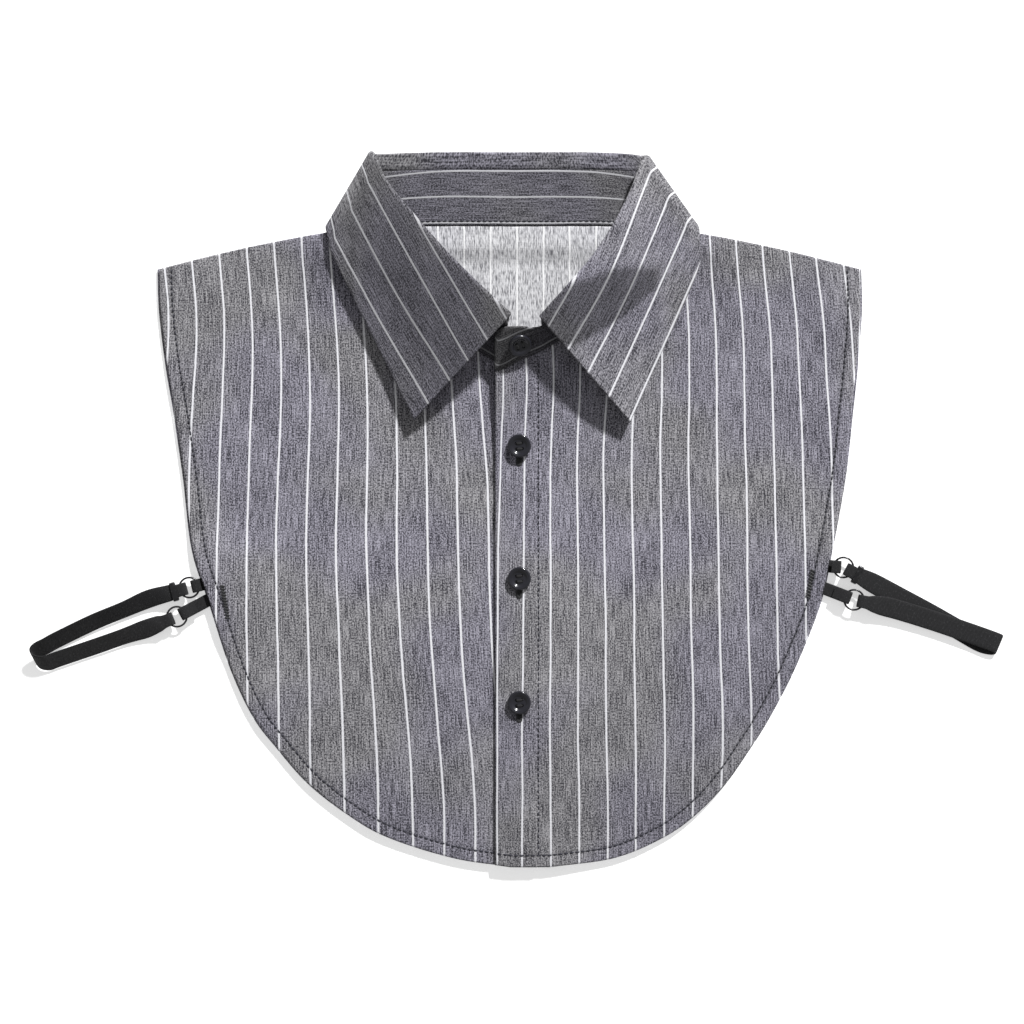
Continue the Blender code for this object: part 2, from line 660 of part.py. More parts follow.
def build_slider(side, run, surface):
    """A flat frame round the strap and its tail, next to the front ring."""
    centre = ring_place(side + "_front")
    way = unit(strap_place(side, *run[0][:2]) - centre)
    across = np.array([-way[1], way[0]])
    start = RING_CLEAR + ELASTIC_THICK
    half = ELASTIC_WIDTH / 2 * SLIDER_SQUEEZE + GAP
    low = RING_HEIGHT - LOOP_REACH - ELASTIC_THICK / 2 - GAP
    high = RING_HEIGHT + LOOP_REACH + ELASTIC_THICK / 2
    bm = bmesh.new()
    loops = []
    for along in (start, start + SLIDER_LENGTH):
        for grow in (0.0, SLIDER_BAR):
            loop = []
            for edge, z in ((-1, low - grow), (1, low - grow), (1, high + grow), (-1, high + grow)):
                spot = centre + way * along + across * edge * (half + grow)
                loop.append(bm.verts.new((*spot, z)))
            loops.append(loop)
    near_in, near_out, far_in, far_out = loops
    for a, b in ((near_in, near_out), (near_out, far_out), (far_out, far_in), (far_in, near_in)):
        for i in range(4):
            bm.faces.new((a[i], a[(i + 1) % 4], b[(i + 1) % 4], b[i]))
    link_mesh(side + "_slider", bm, surface)


def button_mesh():
    """A dished disc turned from its profile, standing on z = 0."""
    profile = (
        # radius share, height share
        (0.00, 0.00),
        (0.82, 0.00),
        (1.00, 0.30),
        (1.00, 0.72),
        (0.88, 1.00),
        (0.70, 0.92),
    )
    bm = bmesh.new()
    points = [(r * BUTTON_RADIUS, h * BUTTON_HEIGHT) for r, h in profile]
    points += [(0.5 * BUTTON_RADIUS, BUTTON_HEIGHT - BUTTON_DISH), (0.0, BUTTON_HEIGHT - BUTTON_DISH)]
    verts = [bm.verts.new((r, 0, z)) for r, z in points]
    edges = [bm.edges.new(pair) for pair in zip(verts, verts[1:])]
    bmesh.ops.spin(
        bm,
        geom=verts + edges,
        cent=(0, 0, 0),
        axis=(0, 0, 1),
        angle=math.tau,
        steps=16,
        use_merge=True,
    )
    bmesh.ops.remove_doubles(bm, verts=bm.verts, dist=GAP / 100)
    bmesh.ops.recalc_face_normals(bm, faces=bm.faces)
    mesh = bpy.data.meshes.new("button")
    bm.to_mesh(mesh)
    bm.free()
    mesh.shade_smooth()
    mesh.set_sharp_from_angle(angle=math.radians(40))
    return mesh


def hole_mesh():
    """Four pins that cut a button's thread holes."""
    bm = bmesh.new()
    for x in (-1, 1):
        for y in (-1, 1):
            made = bmesh.ops.create_cone(
                bm,
                cap_ends=True,
                segments=6,
                radius1=HOLE_RADIUS,
                radius2=HOLE_RADIUS,
                depth=4 * BUTTON_HEIGHT,
            )
            bmesh.ops.translate(bm, verts=made["verts"], vec=(x * HOLE_SPREAD, y * HOLE_SPREAD, 0))
    mesh = bpy.data.meshes.new("thread_holes")
    bm.to_mesh(mesh)
    bm.free()
    return mesh


def build_button(name, disc, pins, spot, normal, surface):
    """A button with its foot at spot, facing along normal."""
    obj = bpy.data.objects.new(name, disc.copy())
    obj.data.materials.append(material(name, *surface))
    cutter = bpy.data.objects.new(name + "_holes", pins)
    for item in (obj, cutter):
        bpy.context.scene.collection.objects.link(item)
        item.location = spot
        item.rotation_mode = "QUATERNION"
        item.rotation_quaternion = Vector(normal).to_track_quat("Z", "Y")
    cutter.hide_render = True
    cutter.display_type = "WIRE"
    holes = obj.modifiers.new("thread_holes", "BOOLEAN")
    holes.object = cutter


def build_buttons(front_height, surface):
    disc, pins = button_mesh(), hole_mesh()
    for i, drop in enumerate(BUTTON_DROPS, start=1):
        y = SEAM_Y - drop * BIB_DROP
        turns = np.linspace(0, math.tau, 12, endpoint=False)
        foot = np.column_stack([np.cos(turns), np.sin(turns)]) * BUTTON_RADIUS + (BUTTON_X, y)
        z = front_height(foot).max() + PLACKET_CLOTH + GAP
        build_button(f"placket_button_{i}", disc, pins, (BUTTON_X, y, z), (0, 0, 1), surface)
    row = stand_middle()[-len(UPPER_END)]
    before = stand_middle()[-len(UPPER_END) + 1]
    centre = (row[1] + row[2]) / 2
    normal = unit(np.cross(row[-1] - row[0], before[1] - row[1]))
    normal = normal if normal[2] > 0 else -normal
    spot = centre + normal * (STAND_CLOTH / 2 + 2 * GAP)
    build_button("stand_button", disc, pins, spot, normal, surface)


def main():
    clear_scene()
    front_height = build_bib(CHAMBRAY)
    build_collar(CHAMBRAY)
    build_buttons(front_height, BUTTON_BLACK)
    for name in RINGS:
        build_tab(name, ELASTIC_BLACK)
    build_rings(COATED_METAL)
    for side, run, across in (("left", LEFT_RUN, LEFT_SIDE), ("right", RIGHT_RUN, RIGHT_SIDE)):
        build_strap(side, run, across, ELASTIC_BLACK)
        build_slider(side, run, COATED_METAL)


main()
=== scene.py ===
"""The looks of a detachable shirt collar: striped chambray on a short bib, laid flat on its back.

Metres, +Z up, in the frame of the solids. The cloth pieces are finer sheets with the same forms as
their solids, with hems, seams, stitches and woven stripes.
"""

import json
import math

import bmesh
import bpy
import numpy as np
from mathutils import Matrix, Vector
from mathutils.geometry import delaunay_2d_cdt

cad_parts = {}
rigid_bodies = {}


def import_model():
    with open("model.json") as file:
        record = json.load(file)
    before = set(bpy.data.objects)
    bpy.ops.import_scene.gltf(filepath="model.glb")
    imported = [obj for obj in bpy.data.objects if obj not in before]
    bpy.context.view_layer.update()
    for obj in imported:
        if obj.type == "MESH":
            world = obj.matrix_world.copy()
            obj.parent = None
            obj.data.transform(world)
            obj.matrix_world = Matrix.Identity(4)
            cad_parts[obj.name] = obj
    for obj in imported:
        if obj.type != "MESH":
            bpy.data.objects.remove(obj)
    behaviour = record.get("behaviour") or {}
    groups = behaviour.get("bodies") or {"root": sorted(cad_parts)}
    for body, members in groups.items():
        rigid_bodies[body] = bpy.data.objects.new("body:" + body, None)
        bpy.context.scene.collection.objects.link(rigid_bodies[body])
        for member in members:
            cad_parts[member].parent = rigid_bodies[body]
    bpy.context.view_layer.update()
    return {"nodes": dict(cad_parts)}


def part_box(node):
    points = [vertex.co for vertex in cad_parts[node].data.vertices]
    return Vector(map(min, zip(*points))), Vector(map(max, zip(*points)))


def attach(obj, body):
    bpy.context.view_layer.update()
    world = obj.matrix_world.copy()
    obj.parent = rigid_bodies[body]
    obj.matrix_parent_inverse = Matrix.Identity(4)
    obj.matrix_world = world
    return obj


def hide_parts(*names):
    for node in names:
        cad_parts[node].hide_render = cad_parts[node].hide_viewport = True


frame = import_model()

# Bib
BIB_HALF_WIDTH = 0.1755
BIB_DROP = 0.2995
SHOULDER_RISE = 0.0185
NECK_CURVE = 0.0032
HEM_SHOW = 0.0012

# Collar ring, as half widths and drops of its crease axis
NECK_HALF = 0.083
NECK_DROP = 0.0732
ROLL_HALF = 0.067
ROLL_DROP = 0.082
EDGE_HALF = 0.0925
TIP_DROP = 0.0895
STAND_HEIGHT = 0.028
ROLL_RISE = 0.0073
LEAF_FALL = 0.0434
CREASE_RADIUS = 0.0028
FRONT_LIFT = 0.009
FRONT_ROLL = 0.003
ROLL_OPENS = 0.4
LEAF_CROWN = 0.0012

# Cloth and gaps
PANEL_CLOTH = 0.001
PLACKET_CLOTH = 0.0016
STAND_CLOTH = 0.0016
LEAF_CLOTH = 0.0014
GAP = 0.0003
SEAM_GAP = 0.0008
SEWN_GAP = 0.0001

# Placket
PLACKET_EDGE = -0.0097
PLACKET_WIDTH = 0.0217
PLACKET_FOLD = PLACKET_EDGE + PLACKET_WIDTH
UNDERLAP = 0.0035
UNDERLAP_SLOPE = 1 / 3
BUTTON_HEIGHT = 0.0026

# Elastic straps, rings and sliders
ELASTIC_WIDTH = 0.010
ELASTIC_THICK = 0.0008
TAB_WIDTH = 0.0064
TAB_LONG = 0.0212
TAB_SHORT = 0.0155
TAB_TAIL_LONG = 0.011
TAB_TAIL_SHORT = 0.0060
STRAP_TAIL = 0.014
STRAP_REACH = 0.09
STRAP_DROPS = {"left": 0.1625, "right": 0.1555}
NEAR_INSET = 0.0014
FAR_INSET = 0.0020
RING_RADIUS = 0.005
RING_WIRE = 0.0005
SLIDER_LENGTH = 0.0026
SLIDER_BAR = 0.0005
SLIDER_SQUEEZE = 0.82

# The length from the collar's roll line to the hem is centred on the origin.
ROLL_BULGE = (STAND_CLOTH + 2 * GAP + LEAF_CLOTH) / 4 + LEAF_CLOTH / 2
LENGTH = ROLL_BULGE + ROLL_RISE + STAND_HEIGHT + NECK_CURVE + SHOULDER_RISE + BIB_DROP
ROLL_Y = LENGTH / 2 - ROLL_BULGE
SEAM_Y = ROLL_Y - ROLL_RISE - STAND_HEIGHT
EDGE_Y = ROLL_Y - LEAF_FALL
SHOULDER_Y = SEAM_Y - NECK_CURVE - SHOULDER_RISE
LEAF_OFFSET = (STAND_CLOTH + LEAF_CLOTH) / 2 + GAP
AXIS_Z = (LEAF_CLOTH + GAP) / 2 + LEAF_OFFSET + CREASE_RADIUS
BAND_SHARE = STAND_HEIGHT / (STAND_HEIGHT + ROLL_RISE)
LOOP_REACH = RING_WIRE + GAP + ELASTIC_THICK / 2
RING_HEIGHT = PANEL_CLOTH + GAP + ELASTIC_THICK / 2 + LOOP_REACH
RING_CLEAR = RING_RADIUS + RING_WIRE + GAP

# Outline of the bib: down as a share of BIB_DROP, left and right as shares of BIB_HALF_WIDTH
OUTLINE = (
    # down, left, right
    (0.000, 1.013, 0.984),
    (0.070, 1.009, 0.986),
    (0.160, 0.991, 0.975),
    (0.240, 0.968, 0.961),
    (0.350, 0.941, 0.940),
    (0.470, 0.916, 0.903),
    (0.560, 0.867, 0.869),
    (0.670, 0.806, 0.795),
    (0.750, 0.742, 0.725),
    (0.800, 0.678, 0.672),
    (0.860, 0.589, 0.601),
    (0.910, 0.482, 0.521),
    (0.950, 0.365, 0.427),
    (0.985, 0.177, 0.285),
    (1.000, 0.010, 0.100),
)

# Half the flattened collar ring, from the centre back round a corner crease to the centre front.
# Outs and downs are shares of NECK, ROLL and EDGE_HALF and of NECK_DROP, ROLL_DROP and TIP_DROP,
# and lifts are shares of FRONT_LIFT.
LEFT_ROWS = (
    # seam out, down, lift, roll out, down, lift, edge out, down, lift
    (0.000, 0.000, 0.00, 0.000, 0.000, 0.00, 0.000, 0.000, 0.00),
    (0.542, 0.001, 0.00, 0.582, 0.000, 0.00, 0.514, 0.000, 0.00),
    (0.990, 0.030, 0.00, 1.000, 0.010, 0.00, 0.900, -0.010, 0.00),
    (1.040, 0.030, 0.00, 1.020, 0.020, 0.00, 0.967, -0.060, 0.00),
    (1.015, 0.077, -0.15, 1.019, 0.078, 0.05, 0.997, 0.028, -0.05),
    (0.919, 0.180, -0.25, 0.948, 0.200, 0.30, 0.954, 0.140, -0.22),
    (0.780, 0.351, -0.34, 0.769, 0.389, 0.60, 0.878, 0.299, -0.36),
    (0.617, 0.515, -0.42, 0.582, 0.566, 0.82, 0.800, 0.464, -0.46),
    (0.437, 0.679, -0.48, 0.396, 0.724, 0.93, 0.716, 0.637, -0.50),
    (0.256, 0.829, -0.54, 0.209, 0.871, 0.99, 0.630, 0.816, -0.46),
    (0.087, 0.945, -0.59, 0.037, 1.000, 0.99, 0.543, 1.000, -0.36),
)
RIGHT_ROWS = (
    # seam out, down, lift, roll out, down, lift, edge out, down, lift
    (0.000, 0.000, 0.00, 0.000, 0.000, 0.00, 0.000, 0.000, 0.00),
    (0.542, 0.001, 0.00, 0.560, 0.000, 0.00, 0.514, 0.000, 0.00),
    (0.943, 0.026, 0.00, 0.907, 0.014, 0.00, 0.868, -0.010, 0.00),
    (0.991, 0.023, 0.00, 0.944, 0.048, 0.00, 0.938, -0.061, 0.00),
    (0.979, 0.070, -0.15, 0.937, 0.090, 0.05, 1.003, 0.045, -0.05),
    (0.900, 0.180, -0.22, 0.884, 0.230, 0.30, 0.986, 0.168, -0.22),
    (0.762, 0.364, -0.24, 0.757, 0.444, 0.60, 0.922, 0.335, -0.36),
    (0.605, 0.528, -0.24, 0.593, 0.651, 0.82, 0.846, 0.506, -0.46),
    (0.455, 0.658, -0.22, 0.459, 0.779, 0.93, 0.770, 0.676, -0.50),
    (0.310, 0.761, -0.19, 0.325, 0.901, 0.99, 0.697, 0.844, -0.46),
    (0.172, 0.850, -0.17, 0.198, 1.017, 0.99, 0.624, 1.011, -0.36),
)
HALF_KEYS = len(LEFT_ROWS) - 1
CREASE_KEY = 3

# Ends of the stand past its last ring row: seam and top edge, outs and downs as shares of
# NECK_HALF and NECK_DROP, lifts as shares of FRONT_LIFT. The upper end has a rounded corner.
UNDER_END = (
    # seam out, down, lift, top out, down, lift
    (-0.033, 0.993, -0.66, -0.051, 0.733, 0.32),
)
UPPER_END = (
    # seam out, down, lift, top out, down, lift
    (0.027, 0.925, -0.16, 0.027, 0.699, 0.81),
    (-0.060, 0.978, -0.17, -0.060, 0.705, 0.86),
    (-0.105, 0.992, -0.15, -0.100, 0.726, 0.80),
    (-0.120, 0.962, -0.08, -0.120, 0.782, 0.64),
)

# Ring centres as shares of STRAP_REACH out and up from the strap's place on the side edge, the
# way each tab leaves its ring towards the bib, the tab's length and its tail, and how far the
# elastic's loops stay from the ring's centre
RINGS = {
    # name: out, up, towards bib x, y, tab length, tail, inset
    "left_front": (0.099, 0.033, 0.970, 0.243, TAB_SHORT, TAB_TAIL_SHORT, NEAR_INSET),
    "left_back": (0.168, -0.129, 0.883, 0.470, TAB_LONG, TAB_TAIL_LONG, FAR_INSET),
    "right_front": (0.100, 0.067, -0.996, 0.085, TAB_SHORT, TAB_TAIL_SHORT, NEAR_INSET),
    "right_back": (0.159, -0.113, -0.932, 0.362, TAB_LONG, TAB_TAIL_LONG, FAR_INSET),
}

# Free runs of the straps between their two ring loops: the elastic's middle line, out and up as
# shares of STRAP_REACH and height as a share of ELASTIC_WIDTH, and how far its upper edge leans
# over, from 0, lying flat, to 1, leaning by STRAP_LEAN
STRAP_LEAN = math.radians(38)
STRAP_SIDES = {"left": (-0.35, 0.937), "right": (0.39, 0.92)}
STRAP_RUNS = {
    # out, up, height, lean
    "left": (
        (0.321, -0.029, 0.36, 0.7),
        (0.460, -0.089, 0.38, 1.0),
        (0.632, -0.160, 0.36, 1.0),
        (0.834, -0.258, 0.36, 1.0),
        (0.890, -0.289, 0.36, 1.0),
        (0.946, -0.319, 0.36, 1.0),
        (0.966, -0.351, 0.36, 1.0),
        (0.941, -0.381, 0.36, 1.0),
        (0.890, -0.387, 0.36, 1.0),
        (0.834, -0.367, 0.36, 1.0),
        (0.610, -0.291, 0.36, 1.0),
        (0.460, -0.238, 0.38, 1.0),
        (0.343, -0.198, 0.36, 0.6),
    ),
    "right": (
        (0.272, -0.024, 0.26, 0.0),
        (0.428, -0.106, 0.09, 0.0),
        (0.583, -0.189, 0.05, 0.0),
        (0.724, -0.269, 0.05, 0.0),
        (0.861, -0.347, 0.05, 0.0),
        (0.939, -0.369, 0.06, 0.0),
        (0.969, -0.363, 0.14, 0.0),
        (0.939, -0.347, 0.23, 0.0),
        (0.808, -0.300, 0.20, 0.0),
        (0.611, -0.233, 0.19, 0.0),
        (0.428, -0.176, 0.22, 0.0),
        (0.328, -0.149, 0.27, 0.0),
    ),
}

# Vertical room between back and front for a tab, round where the tabs go in
TAB_ROOM = 0.0013
TAB_PATCH = 0.016
TAB_PATCH_FADE = 0.022

# How the cloth falls from the raised neck seam to the table
NECK_SPREAD = 0.026
CORNER_LIFT = 0.0015
LEAF_RAMP = 0.012
LAP_FADE = 0.030
SHOULDER_BOW = 0.0015

# Fine form of the cloth
CELL = 0.0022
CLOTH_CREASE = 60
RIM_ROUND = 0.0006
HEM_WIDTH = 0.006
HEM_RAISE = 0.00022
SEAM_DIP = 0.00020
PUCKER = 0.00009
RIPPLE = 0.00022
EDGE_BAND = 0.0052
BAND_RAISE = 0.00014

# Stitches
STITCH_LENGTH = 0.0024
STITCH_GAP = 0.0004
THREAD_RADIUS = 0.00040
# Painted shade: how much darker the cloth is along a hem's stitch groove
GROOVE_PAINTED_SHADE = 0.45
FOOT_STITCH = 0.0022
FOOT_THREAD = 0.00026

# Painted shade, multiplied into the cloth's colour: the stand, the roll and the left front darker as if in shade,
# and a painted shadow patch on the right front, by the distance along the stripes and its edge across them, in
# millimetres
STAND_PAINTED_SHADE = 0.52
ROLL_PAINTED_SHADE = 0.68
LEFT_FRONT_PAINTED_SHADE = 0.45
PAINTED_SHADOW_DARKNESS = 0.60
PAINTED_SHADOW_TOP = 120.0
PAINTED_SHADOW_EDGE = (-139.0, -129.0, -108.0, -86.4, -80.4), (15.7, 17.6, 8.0, -6.7, -22.0)
# Painted shade: the cloth darker towards the hem, where the light falls off
HEM_PAINTED_SHADE = 0.18
# Painted shade: the stand's tab at the front, darker still
TAB_PAINTED_SHADE = 0.28
STAND_FIRST = 0.0012

# Buttonholes, and the bar tacks over the tabs' ends: from, to
BUTTONHOLE_LENGTH = 0.0155
BUTTONHOLE_DOWN = 0.0021
BUTTONHOLE_HALF = 0.0014
SATIN_PITCH = 0.00045
TACK_PITCH = 0.0007
TACK_HALF = 0.0011
TACKS = {
    "left": ((-0.1462, -0.0378), (-0.1434, -0.0545)),
    "right": ((0.1492, -0.0300), (0.1468, -0.0440)),
}

# Where woven stripes cross level lines: y, then x of the named stripes, in millimetres
FRONT_UNDER_STRIPES = (0, 3, 6, 9), (
    (-145.25, -147.25, -102.25, -50.75, -3.75),
    (-105.25, -149.25, -102.25, -53.75, -8.25),
    (-65.25, -149.75, -103.25, -57.25, -11.75),
    (-20.25, -148.75, -104.75, -59.25, -12.75),
    (29.75, -147.75, -103.25, -58.75, -14.25),
    (54.75, -146.25, -101.75, -59.25, -17.25),
    (99.75, -144.75, -103.75, -61.75, -19.25),
    (129.75, -148.75, -106.75, -64.25, -21.75),
)
FRONT_OVER_STRIPES = (0, 1, 4, 8, 12), (
    (-145.25, -8.70, 3.75, 46.75, 103.25, 160.25),
    (-105.25, -8.70, 3.75, 45.75, 104.75, 161.75),
    (-65.25, -8.60, 4.25, 45.75, 102.75, 160.25),
    (-20.25, -8.10, 4.75, 45.25, 102.25, 159.75),
    (29.75, -6.90, 4.75, 44.00, 101.25, 158.75),
    (69.75, -4.90, 6.75, 47.25, 101.25, 156.25),
    (99.75, -7.00, 2.75, 46.25, 100.75, 154.75),
    (129.75, -9.00, 1.25, 43.75, 97.25, 149.75),
)
# On the leaf: the distance along the stripes, then across them, on each side's own direction
LEFT_LEAF_WAY = (0.872, 0.490)
LEFT_LEAF_STRIPES = (3, 2, 1, 0), (
    (-177.35, -11.40, 2.40, 16.20, 27.50),
    (-123.35, -12.65, 1.05, 15.75, 28.35),
    (-69.35, -11.15, 3.70, 16.25, 29.90),
)
RIGHT_LEAF_WAY = (0.907, -0.420)
RIGHT_LEAF_STRIPES = (0, 1, 2, 3, 4), (
    (-183.0, -24.3, -9.3, 3.7, 17.7, 31.7),
    (-123.0, -19.8, -5.3, 6.2, 18.7, 32.7),
    (-73.0, -24.1, -10.8, 3.7, 18.9, 33.2),
)
STRIPE_BLUR = 18.0  # millimetres
BACK_STRIPE_X = 0.00125
BACK_PITCH = 0.0132
STAND_PITCH = 0.0130
STAND_DRIFT = 0.0018
LEAF_PITCH = 0.0150
LEAF_FIRST = 0.008
PANEL_PITCH = 0.0145


def unit(vectors):
    return vectors / np.linalg.norm(vectors, axis=-1, keepdims=True)


def ease(value):
    """0 below 0, 1 above 1, and smooth between."""
    value = np.clip(value, 0.0, 1.0)
    return value * value * (3 - 2 * value)


def along_rows(rows, places):
    """Rows joined by a smooth curve through each, read at places counted in rows."""
    rows = np.array(rows, float)
    places = np.asarray(places, float)
    ends = np.vstack([2 * rows[0] - rows[1], rows, 2 * rows[-1] - rows[-2]])
    index = np.clip(places.astype(int), 0, len(rows) - 2)
    t = (places - index)[:, None]
    before, start, end, after = (ends[index + k] for k in range(4))
    return (
        start
        + 0.5 * t * (end - before)
        + t**2 * (before - 2.5 * start + 2 * end - 0.5 * after)
        + t**3 * (1.5 * (start - end) + 0.5 * (after - before))
    )


def filled(points, spacing):
    """A line of points with more put in wherever two are further apart than the spacing."""
    points = np.array(points, float)
    found = [points[:1]]
    for start, end in zip(points[:-1], points[1:]):
        count = max(1, math.ceil(np.linalg.norm((end - start)[:3]) / spacing))
        shares = np.arange(1, count + 1)[:, None] / count
        found.append(start + (end - start) * shares)
    return np.vstack(found)


def arc_lengths(points):
    steps = np.linalg.norm(np.diff(points, axis=0), axis=1)
    return np.concatenate([[0], np.cumsum(steps)])


def near_line(plan, line):
    """For each point in plan, its distance to a line of 3-D points and the line's third value there."""
    best = np.full(len(plan), np.inf)
    value = np.zeros(len(plan))
    for start, end in zip(line[:-1], line[1:]):
        run = (end - start)[:2]
        share = np.clip(((plan - start[:2]) @ run) / max(run @ run, 1e-18), 0, 1)
        gap = np.linalg.norm(plan - (start[:2] + share[:, None] * run), axis=1)
        closer = gap < best
        best = np.where(closer, gap, best)
        value = np.where(closer, start[2] + share * (end[2] - start[2]), value)
    return best, value


def ring_rows():
    """Rows of the whole ring from the left centre front round the back to the right one."""
    rows = []
    for side, table in ((-1, LEFT_ROWS[:0:-1]), (1, RIGHT_ROWS)):
        for s_out, s_down, s_lift, r_out, r_down, r_lift, e_out, e_down, e_lift in table:
            seam = (side * s_out * NECK_HALF, SEAM_Y - s_down * NECK_DROP, s_lift * FRONT_LIFT)
            roll = (side * r_out * ROLL_HALF, ROLL_Y - r_down * ROLL_DROP, r_lift * FRONT_LIFT)
            edge = (side * e_out * EDGE_HALF, EDGE_Y - e_down * TIP_DROP, e_lift * FRONT_LIFT)
            rows.append((*seam, *roll, *edge, max(0.0, r_down)))
    return rows


def ring_stations(places):
    """Seam, roll and leaf edge of the stand's middle surface, the way out, the leaf's offset, turn."""
    rows = along_rows(ring_rows(), places)
    from_back = np.abs(places - HALF_KEYS)
    turn = ease((from_back - CREASE_KEY + 1) / 2)
    side = np.where(places < HALF_KEYS, -1.0, 1.0)
    seam, roll, edge = rows[:, 0:3], rows[:, 3:6], rows[:, 6:9]
    up = unit((roll - seam)[:, :2])
    out = np.column_stack([up[:, 1], -up[:, 0], np.zeros(len(up))]) * side[:, None]
    swing = np.sin(math.pi * turn)[:, None]
    way = out * swing - np.array([0, 0, 1.0]) * np.cos(math.pi * turn)[:, None]
    opened = ease(rows[:, 9] / ROLL_OPENS)
    offset = LEAF_OFFSET + (FRONT_ROLL - LEAF_OFFSET) * opened
    base = CREASE_RADIUS * way + np.array([0, 0, AXIS_Z])
    return seam + base, roll + base, edge + base, way, offset[:, None], turn


RING_PLACES = np.linspace(0, 2 * HALF_KEYS, 261)
RIM_STEPS = np.array([0.0, 0.006, 0.018, 0.036])


def end_rows(table, side):
    """Seam and top edge points past the ring's last row, as flat rows of six."""
    level = AXIS_Z + CREASE_RADIUS
    rows = []
    for s_out, s_down, s_lift, t_out, t_down, t_lift in table:
        low = (side * s_out * NECK_HALF, SEAM_Y - s_down * NECK_DROP, level + s_lift * FRONT_LIFT)
        high = (side * t_out * NECK_HALF, SEAM_Y - t_down * NECK_DROP, level + t_lift * FRONT_LIFT)
        rows.append((*low, *high))
    return rows


def stand_lines():
    """The stand's foot and top edge as fine lines, and how far round the ring each point is."""
    seam, roll, _, _, _, _ = ring_stations(RING_PLACES)
    rows = np.hstack([seam, seam + (roll - seam) * BAND_SHARE])
    step = int(1 / (RING_PLACES[1] - RING_PLACES[0]))
    under = along_rows([*end_rows(UNDER_END, -1)[::-1], rows[0], rows[step]], np.linspace(0, 1, 9))
    upper_keys = [rows[-1 - step], rows[-1], *end_rows(UPPER_END, 1)]
    upper = along_rows(upper_keys, np.linspace(1, len(upper_keys) - 1, 41))
    whole = np.vstack([under[:-1], rows, upper[1:]])
    around = np.concatenate([np.full(8, 1.0), np.abs(RING_PLACES / HALF_KEYS - 1), np.full(40, 1.0)])
    return whole[:, :3], whole[:, 3:], around


STAND_FOOT, STAND_TOP, STAND_AROUND = stand_lines()


def outline_side(column, steps=16):
    """The bib's side edge and hem on one side, from the shoulder tip to the hem's middle."""
    places = np.linspace(0, len(OUTLINE) - 1, steps * (len(OUTLINE) - 1) + 1)
    rows = along_rows([(row[0], row[column]) for row in OUTLINE], places)
    side = -1 if column == 1 else 1
    return np.column_stack([side * rows[:, 1] * BIB_HALF_WIDTH, SHOULDER_Y - rows[:, 0] * BIB_DROP])


SIDE_LINES = (outline_side(1), outline_side(2))


def strap_place(side, out=0.0, up=0.0):
    """Where a strap leaves the side edge, or a point out and up from there."""
    edge = SIDE_LINES[0 if side == "left" else 1][::-1]
    y = SHOULDER_Y - STRAP_DROPS[side]
    x = np.interp(y, edge[:, 1], edge[:, 0])
    return np.array([x + math.copysign(out * STRAP_REACH, x), y + up * STRAP_REACH])


def ring_place(name):
    return strap_place(name.split("_")[0], *RINGS[name][:2])


def shoulder(neck, tip):
    """Points from the neck point to the shoulder tip on a slight bow, without its ends."""
    shares = np.arange(1, 48)[:, None] / 48
    start, end = np.array(neck), np.array(tip)
    bow = SHOULDER_BOW * np.sin(math.pi * shares) * np.array([[0, 1]])
    return start + (end - start) * shares + bow


def neck_seams():
    """The seam line of the left front, the back and the right front, as points of the stand's foot."""
    left = int(STAND_FOOT[:, 0].argmin())
    right = int(STAND_FOOT[:, 0].argmax())
    return STAND_FOOT[: left + 1][::-1], STAND_FOOT[left : right + 1], STAND_FOOT[right:]


def pushed_out(seam, side):
    """The seam line in plan, moved off the stand's foot by the sewn gap."""
    plan = seam[:, :2]
    along = unit(np.gradient(plan, axis=0))
    across = np.column_stack([along[:, 1], -along[:, 0]]) * side
    return plan + across * SEWN_GAP


def neck_point(side):
    """Where the shoulder line meets the neck, just outside the stand's crease."""
    left, _, right = neck_seams()
    crease = left[0] if side < 0 else right[0]
    return np.array([crease[0] + side * (STAND_CLOTH / 2 + SEAM_GAP), SEAM_Y - NECK_CURVE])


def waves(plan, seed, shortest, longest):
    """Slow random waves over the plan, between -1 and 1."""
    random = np.random.default_rng(seed)
    total = np.zeros(len(plan))
    count = 7
    for _ in range(count):
        angle, phase = random.uniform(0, math.pi), random.uniform(0, math.tau)
        length = random.uniform(shortest, longest)
        reach = plan[:, 0] * math.cos(angle) + plan[:, 1] * math.sin(angle)
        total += np.sin(reach / length * math.tau + phase)
    return total / count


def back_bottom(plan):
    """The back lies on the table, and rises over the leaf's back half and to the neck points."""
    x, y = plan[:, 0], plan[:, 1]
    over_leaf = ease((y - EDGE_Y + LEAF_RAMP + SEAM_GAP) / LEAF_RAMP)
    over_leaf = over_leaf * (1 - ease((np.abs(x) - EDGE_HALF) / NECK_SPREAD))
    height = (LEAF_CLOTH + 2 * GAP) * over_leaf
    height += RIPPLE * (1 + waves(plan, 3, 0.045, 0.11)) * (1 - over_leaf)
    for side in (-1, 1):
        away = np.linalg.norm(plan - neck_point(side), axis=1)
        height = height + CORNER_LIFT * np.exp(-((away / NECK_SPREAD) ** 2))
    return height


def front_base(plan, lap):
    """The lowest a front half may lie: on the back, the tabs and, by lap, the other half."""
    height = back_bottom(plan) + PANEL_CLOTH + GAP
    height += RIPPLE * (1 + waves(plan, 8, 0.035, 0.09))
    for side in STRAP_DROPS:
        away = np.linalg.norm(plan - strap_place(side), axis=1)
        height = height + TAB_ROOM * (1 - ease((away - TAB_PATCH) / TAB_PATCH_FADE))
    reach = PLACKET_FOLD + UNDERLAP
    return height + lap * (1 - ease((plan[:, 0] - reach) / LAP_FADE))


